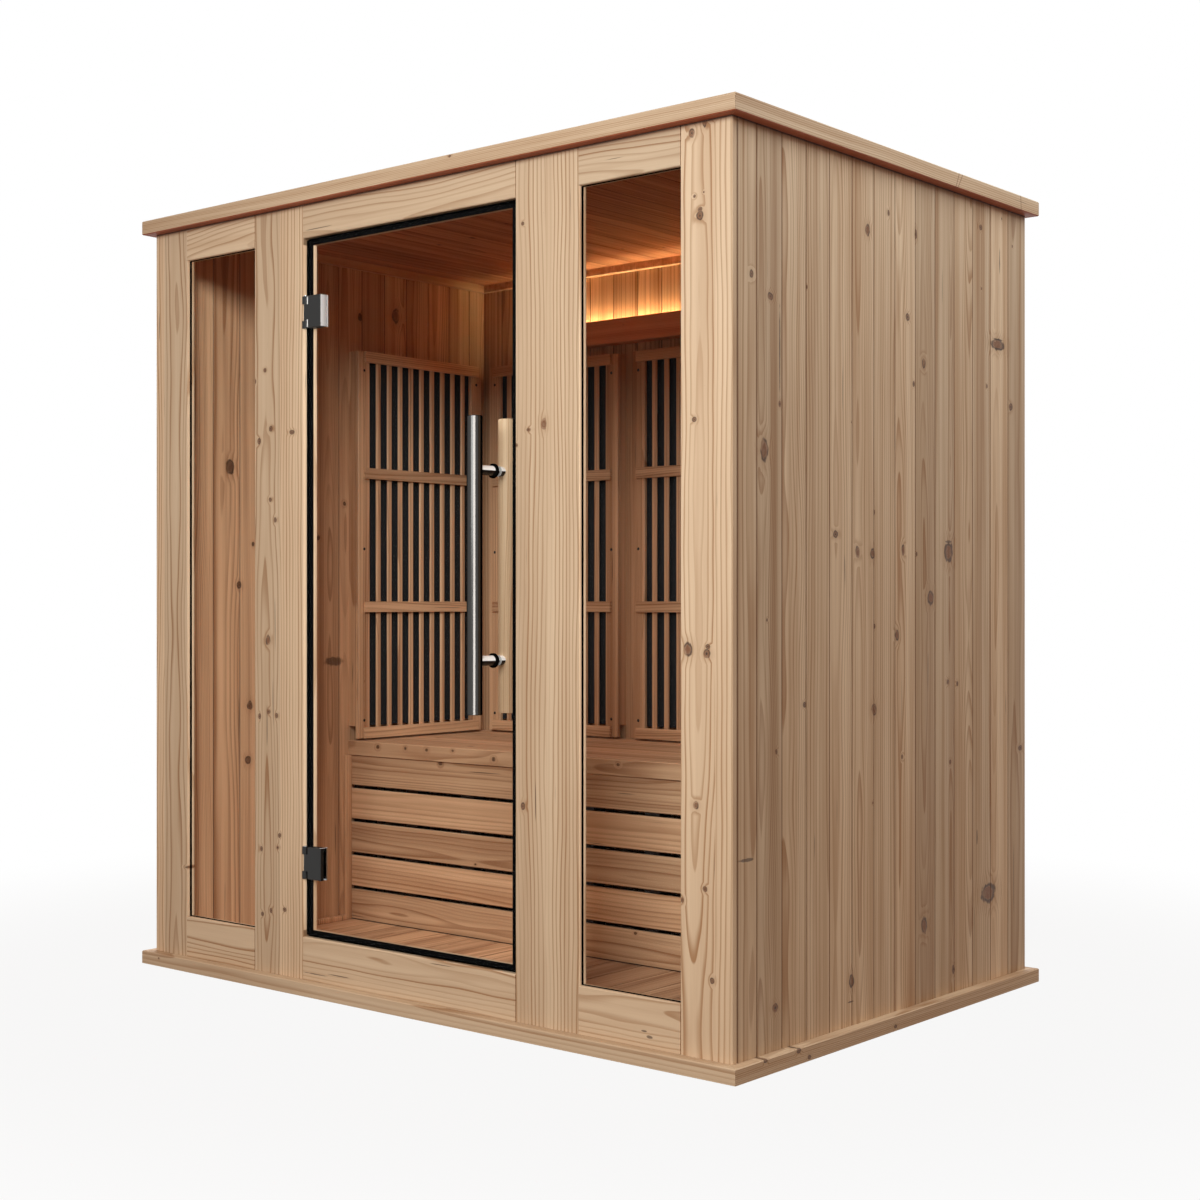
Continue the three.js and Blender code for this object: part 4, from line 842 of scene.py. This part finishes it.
def dress_the_rest():
    dress(glass(), "door_glass", "left_window_glass", "right_window_glass")
    dress(moulded("soft_rubber", srgb(9, 9, 10), 0.7, 900, 0.08, 0.0),
          "door_seal", "left_window_gasket", "right_window_gasket")
    dress(metal("hinge_metal", srgb(38, 37, 36), 0.5, (300, 300, 300), 0.5),
          "upper_hinge_clamp", "lower_hinge_clamp", "upper_hinge_leaf", "lower_hinge_leaf")
    dress(metal("bright_metal", srgb(196, 197, 199), 0.24, (900, 900, 60)),
          "upper_hinge_pin", "lower_hinge_pin", "upper_hinge_back_plate", "lower_hinge_back_plate")
    dress(chrome(), "upper_handle_spindle", "lower_handle_spindle")
    dress(metal("brushed_bar", srgb(75, 73, 71), 0.19, (1500, 1500, 25), rim=0.25), "outer_handle_bar")
    emitter = moulded("emitter_black", srgb(30, 31, 33), 0.62, 260, 0.35, 0.25)
    dress(emitter, *(name for name in NODES if name.endswith("heater_emitter")))
    dress(moulded("unit_coat", srgb(140, 143, 145), 0.5, 700, 0.3), "power_unit")
    dress(moulded("panel_gloss", srgb(22, 23, 25), 0.14, 60, 0.02), "touch_panel")


# Pieces

def new_piece(name, mesh_data, material, body):
    mesh = bpy.data.meshes.new(name)
    mesh_data.to_mesh(mesh)
    mesh_data.free()
    piece = bpy.data.objects.new(name, mesh)
    bpy.context.scene.collection.objects.link(piece)
    mesh.materials.append(material)
    for face in mesh.polygons:
        face.use_smooth = True
    mesh.set_sharp_from_angle(angle=math.radians(SHARP_ANGLE))
    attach(piece, body)
    return piece


def turned(bm, profile, centre, axis, segments):
    """Adds a round form: (radius, distance along the axis) pairs turned about an axis through a centre."""
    forward = Vector(axis).normalized()
    across = forward.orthogonal().normalized()
    side = forward.cross(across)
    rings = []
    for radius, along in profile:
        middle = Vector(centre) + forward * along
        if radius == 0:
            rings.append([bm.verts.new(middle)])
            continue
        ring = []
        for step in range(segments):
            angle = 2 * math.pi * step / segments
            ring.append(bm.verts.new(middle + radius * (across * math.cos(angle) + side * math.sin(angle))))
        rings.append(ring)
    for low, high in zip(rings, rings[1:]):
        for step in range(segments):
            after = (step + 1) % segments
            if len(low) == 1:
                bm.faces.new((low[0], high[after], high[step]))
            elif len(high) == 1:
                bm.faces.new((low[step], low[after], high[0]))
            else:
                bm.faces.new((low[step], low[after], high[after], high[step]))


def heater_screws():
    """Domed screw heads on the stiles of each guard."""
    dark = bpy.data.materials["hinge_metal"]
    profile = [(SCREW_RADIUS * share, rise) for share, rise in SCREW_DOME]
    for name in [node for node in NODES if node.endswith("heater_guard")]:
        low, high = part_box(name)
        bm = bmesh.new()
        on_side = high.y - low.y > high.x - low.x
        if on_side:
            axis = Vector((1, 0, 0)) if low.x < 0 else Vector((-1, 0, 0))
            wall = low.x if low.x < 0 else high.x
            lanes = [Vector((wall, at, 0)) for at in (low.y + SCREW_FROM_EDGE, high.y - SCREW_FROM_EDGE)]
        else:
            axis = Vector((0, -1, 0))
            lanes = [Vector((at, high.y, 0)) for at in (low.x + SCREW_FROM_EDGE, high.x - SCREW_FROM_EDGE)]
        for lane in lanes:
            for level in SCREW_LEVELS:
                centre = lane + axis * (GUARD_LAYER - SCREW_SUNK) + Vector((0, 0, low.z + level))
                turned(bm, profile, centre, axis, SCREW_SEGMENTS)
        new_piece(name.replace("guard", "screws"), bm, dark, "cabin")


def light_strip():
    """Warm light strip on the shelf of the pelmet, with a domed cover."""
    material, g = new_material("light_strip")
    dots = g.noise(g.scaled(object_point(g), (120, 1, 1)))
    power = g.scale_add(dots, 0.4 * STRIP_POWER, 0.8 * STRIP_POWER)
    finish_surface(g, g.add("Emission", {"Color": (*STRIP_COLOUR, 1.0), "Strength": power}).outputs[0])
    low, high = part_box("led_pelmet")
    middle = (low.y + PELMET_BOARD + high.y) / 2
    foot = low.z + PELMET_SHELF
    bm = bmesh.new()
    outline = [(middle + a * STRIP_WIDTH, foot + b * STRIP_HEIGHT) for a, b in STRIP_SECTION]
    ends = []
    for x in (low.x + STRIP_FROM_END, high.x - STRIP_FROM_END):
        ends.append([bm.verts.new((x, y, z)) for y, z in outline])
    count = len(outline)
    for step in range(count):
        after = (step + 1) % count
        bm.faces.new((ends[0][after], ends[0][step], ends[1][step], ends[1][after]))
    bm.faces.new(ends[0])
    bm.faces.new(list(reversed(ends[1])))
    bmesh.ops.recalc_face_normals(bm, faces=bm.faces)
    new_piece("light_strip", bm, material, "cabin")


def handle_tube():
    """Brushed tube with bright chamfered rims and sunk end caps."""
    low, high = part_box("outer_handle_bar")
    radius = (high.x - low.x) / 2
    length = high.z - low.z
    foot = [
        (0.0, TUBE_CAP_SUNK), (radius - TUBE_WALL, TUBE_CAP_SUNK), (radius - TUBE_RIM, 0.0),
        (radius - TUBE_CHAMFER, 0.0), (radius, TUBE_CHAMFER),
    ]
    profile = foot + [(ring, length - along) for ring, along in reversed(foot)]
    bm = bmesh.new()
    centre = ((low.x + high.x) / 2, (low.y + high.y) / 2, low.z)
    turned(bm, profile, centre, (0, 0, 1), HANDLE_SEGMENTS)
    bmesh.ops.recalc_face_normals(bm, faces=bm.faces)
    tube = new_piece("handle_tube", bm, bpy.data.materials["brushed_bar"], "door")
    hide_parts("outer_handle_bar")


def timber_bar():
    """Round timber bar of the handle with eased ends."""
    low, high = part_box("inner_handle_bar")
    radius = (high.x - low.x) / 2 + TIMBER_BAR_SWELL
    length = high.z - low.z
    ease = TIMBER_BAR_EASE
    soft = EASE_SHARE * ease
    foot = [(0.0, 0.0), (radius - ease, 0.0), (radius - soft, soft), (radius, ease)]
    profile = foot + [(ring, length - along) for ring, along in reversed(foot)]
    bm = bmesh.new()
    turned(bm, profile, ((low.x + high.x) / 2, (low.y + high.y) / 2, low.z), (0, 0, 1), HANDLE_SEGMENTS)
    bmesh.ops.recalc_face_normals(bm, faces=bm.faces)
    bar = new_piece("timber_bar", bm, bpy.data.materials["handle_timber"], "door")
    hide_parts("inner_handle_bar")


def handle_washers():
    """Black rubber ring between each spindle and the outer face of the glass."""
    glass_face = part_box("door_glass")[0].y - WASHER_GAP
    ease = EASE_SHARE * WASHER_THICK
    ring = [
        (WASHER_BORE, 0.0), (WASHER_RADIUS - ease, 0.0), (WASHER_RADIUS, ease),
        (WASHER_RADIUS, WASHER_THICK - ease), (WASHER_RADIUS - ease, WASHER_THICK),
        (WASHER_BORE, WASHER_THICK), (WASHER_BORE, 0.0),
    ]
    for level in ("upper", "lower"):
        low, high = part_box(f"{level}_handle_spindle")
        bm = bmesh.new()
        centre = ((low.x + high.x) / 2, glass_face, (low.z + high.z) / 2)
        turned(bm, ring, centre, (0, -1, 0), WASHER_SEGMENTS)
        bmesh.ops.remove_doubles(bm, verts=bm.verts, dist=1e-6)
        bmesh.ops.recalc_face_normals(bm, faces=bm.faces)
        new_piece(f"{level}_handle_washer", bm, bpy.data.materials["soft_rubber"], "door")


def plate(bm, low, high, ease):
    """Adds a block between two corners with eased edges."""
    middle = (Vector(low) + Vector(high)) / 2
    size = Vector(high) - Vector(low)
    made = bmesh.ops.create_cube(bm, size=1.0)["verts"]
    for vert in made:
        vert.co = middle + Vector([a * b for a, b in zip(vert.co, size)])
    edges = list({edge for vert in made for edge in vert.link_edges})
    bmesh.ops.bevel(bm, geom=edges, offset=ease, segments=2, profile=0.5, affect="EDGES")


def hinge_trims():
    """Bright end faces and slits of the upper hinge, and the bright top edge of the lower one."""
    bright = metal("bright_trim", srgb(205, 204, 203), 0.4, (700, 700, 60), 0.1)
    low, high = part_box("upper_hinge_clamp")
    back_low, back_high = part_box("upper_hinge_back_plate")
    ease = 0.4 * TRIM_THICK
    bm = bmesh.new()
    plate(bm, (high.x, low.y + TRIM_INSET, low.z + TRIM_INSET),
          (high.x + TRIM_THICK, high.y - TRIM_INSET, high.z - TRIM_INSET), ease)
    plate(bm, (back_high.x, back_low.y + BACK_TRIM_INSET, back_low.z + TRIM_INSET),
          (back_high.x + TRIM_THICK, back_high.y - BACK_TRIM_INSET, back_high.z - TRIM_INSET), ease)
    slit_x = low.x + SLIT_FROM_SIDE
    for bottom in (low.z + SLIT_FROM_END, high.z - SLIT_FROM_END - SLIT_HEIGHT):
        plate(bm, (slit_x, low.y - TRIM_THICK, bottom),
              (slit_x + SLIT_WIDTH, low.y, bottom + SLIT_HEIGHT), ease)
    new_piece("upper_hinge_trims", bm, bright, "door")

    low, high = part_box("lower_hinge_clamp")
    back_low, back_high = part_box("lower_hinge_back_plate")
    bm = bmesh.new()
    plate(bm, (high.x - TOP_TRIM_WIDTH, low.y + TRIM_INSET, high.z),
          (high.x, high.y - TRIM_INSET, high.z + TRIM_THICK), ease)
    plate(bm, (back_high.x - TOP_TRIM_WIDTH, back_low.y + BACK_TRIM_INSET, back_high.z),
          (back_high.x, back_high.y - BACK_TRIM_INSET, back_high.z + TRIM_THICK), ease)
    new_piece("lower_hinge_trims", bm, bright, "door")


def cornice():
    """Batten under the ceiling round three walls, with a softened lower edge."""
    wall = -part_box("left_wall_lining")[1].x
    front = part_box("left_wall_lining")[0].y + BATTEN_FROM_FRONT
    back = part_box("back_wall_lining")[0].y
    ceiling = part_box("roof_panel")[0].z
    profile = [
        (BATTEN_GAP, BATTEN_GAP), (BATTEN_GAP, CORNICE_DROP), (CORNICE_REACH - BATTEN_EASE, CORNICE_DROP),
        (CORNICE_REACH, CORNICE_DROP - BATTEN_EASE), (CORNICE_REACH, BATTEN_GAP),
    ]
    bm = bmesh.new()
    rows = []
    for inset, drop in profile:
        x = wall - inset
        y = back - inset
        z = ceiling - drop
        rows.append([bm.verts.new(at) for at in ((-x, front, z), (-x, y, z), (x, y, z), (x, front, z))])
    for one, other in zip(rows, rows[1:] + rows[:1]):
        for step in range(3):
            bm.faces.new((one[step], one[step + 1], other[step + 1], other[step]))
    bm.faces.new([row[0] for row in rows])
    bm.faces.new([row[3] for row in reversed(rows)])
    bmesh.ops.recalc_face_normals(bm, faces=bm.faces)
    timber = seamed_timber("cornice", WARM, "YXZ", (), 0.1, 430.0)
    new_piece("cornice_battens", bm, timber, "cabin")


def low_battens():
    """Battens along the floor at both sides, and upright ones in the corners beside the bench front."""
    wall = -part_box("left_wall_lining")[1].x
    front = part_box("left_wall_lining")[0].y + BATTEN_FROM_FRONT
    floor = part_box("floor_deck")[1].z + BATTEN_GAP
    fascia_low, fascia_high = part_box("bench_fascia")
    corner_back = fascia_low.y - BATTEN_GAP
    corner_front = fascia_low.y - CORNER_BATTEN - BATTEN_GAP
    blocks = (
        (FLOOR_BATTEN, front, corner_front - BATTEN_GAP, floor + FLOOR_BATTEN),
        (0.5 * CORNER_BATTEN, corner_front, corner_back, fascia_high.z - BATTEN_GAP),
    )
    bm = bmesh.new()
    for side in (-1, 1):
        for reach, y0, y1, top in blocks:
            x0, x1 = sorted((side * (wall - BATTEN_GAP), side * (wall - reach)))
            plate(bm, (x0, y0, floor), (x1, y1, top), BATTEN_EASE)
    new_piece("low_battens", bm, bpy.data.materials["right_lining"], "cabin")


def glazing_beads():
    """Facings of the reveals left of the windows and the door, before and behind the black ring of each."""
    openings = (
        ("left_window", "left_corner_stile", "left_window_gasket", 0.0),
        ("right_window", "handle_post", "right_window_gasket", 0.0),
        ("door", "hinge_post", "door_seal", DOOR_STOP),
    )
    for name, post, ring, step in openings:
        post_low, post_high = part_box(post)
        ring_low, ring_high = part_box(ring)
        head_low, head_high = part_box(f"{name}_head")
        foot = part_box(f"{name}_sill")[1].z + BEAD_GAP
        top = head_low.z - BEAD_GAP
        outer = post_high.x - step
        inner_end = min(post_high.y - POST_EASE, head_high.y - BEAD_GAP)
        bm = bmesh.new()
        plate(bm, (outer, post_low.y + POST_EASE, foot),
              (outer + BEAD_THICK, ring_low.y - BEAD_GAP, top), BEAD_EASE)
        plate(bm, (post_high.x, ring_high.y + 2 * BEAD_GAP, foot),
              (post_high.x + BEAD_THICK, inner_end, top), BEAD_EASE)
        new_piece(f"{name}_beads", bm, bpy.data.materials["posts"], "cabin")


def seal_lip():
    """Soft lip of the door seal along the handle post."""
    low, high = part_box("door_seal")
    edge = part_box("handle_post")[0].x
    bm = bmesh.new()
    plate(bm, (edge - LIP_REACH, low.y, low.z + LIP_END),
          (edge - LIP_GAP, high.y, high.z - LIP_END), LIP_EASE)
    new_piece("door_seal_lip", bm, bpy.data.materials["soft_rubber"], "cabin")


# Studio

def aim(item, target):
    item.rotation_euler = (Vector(target) - item.location).to_track_quat("-Z", "Y").to_euler()


def lamp(name, at, target, size, power, tint, spread):
    data = bpy.data.lights.new(name, "AREA")
    data.shape = "RECTANGLE"
    data.size, data.size_y = size
    data.energy = power
    data.color = tint
    data.spread = math.radians(spread)
    item = bpy.data.objects.new(name, data)
    item.location = at
    item.visible_camera = False
    bpy.context.scene.collection.objects.link(item)
    aim(item, target)


def seen_directly(g):
    """1 for what the camera sees straight, in a mirror or through glass, otherwise 0."""
    path = g.add("LightPath").outputs
    direct = g.math("MAXIMUM", path["Is Camera Ray"], path["Is Glossy Ray"])
    return g.math("MAXIMUM", direct, path["Is Transmission Ray"])


def studio():
    world = bpy.data.worlds.new("studio")
    bpy.context.scene.world = world
    world.use_nodes = True
    world.node_tree.nodes.clear()
    g = Graph(world.node_tree)
    color = g.mix(seen_directly(g), (*AMBIENT, 1.0), (1, 1, 1, 1))
    back = g.add("Background", {"Color": color, "Strength": 1.0})
    g.tree.links.new(back.outputs[0], g.add("OutputWorld").inputs["Surface"])

    material, g = new_material("studio_floor")
    matt = g.add("BsdfDiffuse", {"Color": (*FLOOR_BOUNCE, 1.0)}).outputs[0]
    white = g.add("Emission", {"Color": (1, 1, 1, 1), "Strength": 1.0}).outputs[0]
    x, y, _ = g.parts(object_point(g))
    away = g.math("SQRT", g.math("ADD", g.times(x, x), g.times(y, y)))
    plain = g.smooth(away, SHADOW_REACH, SHADOW_END)
    plain = g.scale_add(plain, 1 - FLOOR_WHITE, FLOOR_WHITE)
    share = g.times(seen_directly(g), plain)
    finish_surface(g, g.add("MixShader", {0: share, 1: matt, 2: white}).outputs[0])
    mesh = bpy.data.meshes.new("studio_floor")
    half = FLOOR_SIZE / 2
    corners = [(-half, -half, 0), (half, -half, 0), (half, half, 0), (-half, half, 0)]
    mesh.from_pydata(corners, [], [(0, 1, 2, 3)])
    mesh.materials.append(material)
    floor = bpy.data.objects.new("studio_floor", mesh)
    floor.location.z = -FLOOR_DROP
    bpy.context.scene.collection.objects.link(floor)
    for settings in LAMPS:
        lamp(*settings)


def share_light():
    """The key lights the outside, the beam what stands in the cabin, the tall lamp steel and reveals."""
    pieces = bpy.context.scene.objects
    room = [item for name, item in NODES.items()
            if name.startswith(INSIDE) or name.endswith(INSIDE_ENDINGS)]
    room += [item for item in pieces if item.name.endswith(INSIDE_PIECES)]
    bright = [item for item in pieces if item.name.endswith(BRIGHT_PIECES)]
    shares = (("key", "EXCLUDE", room), ("beam", "INCLUDE", room), ("tall", "INCLUDE", bright))
    for name, state, items in shares:
        group = bpy.data.collections.new(name + "_receivers")
        for item in items:
            group.objects.link(item)
        for entry in group.collection_objects:
            entry.light_linking.link_state = state
        bpy.data.objects[name].light_linking.receiver_collection = group


def camera():
    data = bpy.data.cameras.new("camera")
    data.sensor_width = 36
    data.lens = CAMERA_LENS
    data.shift_y = CAMERA_SHIFT_Y
    item = bpy.data.objects.new("camera", data)
    item.location = CAMERA_AT
    item.rotation_euler = (math.radians(90), 0, math.radians(CAMERA_TURN))
    bpy.context.scene.collection.objects.link(item)
    bpy.context.scene.camera = item


bpy.context.scene.view_settings.view_transform = "Standard"
camera()
studio()
dress_outside()
dress_room()
dress_bench()
dress_guards()
dress_the_rest()
heater_screws()
light_strip()
handle_tube()
timber_bar()
handle_washers()
hinge_trims()
cornice()
low_battens()
glazing_beads()
seal_lip()
share_light()
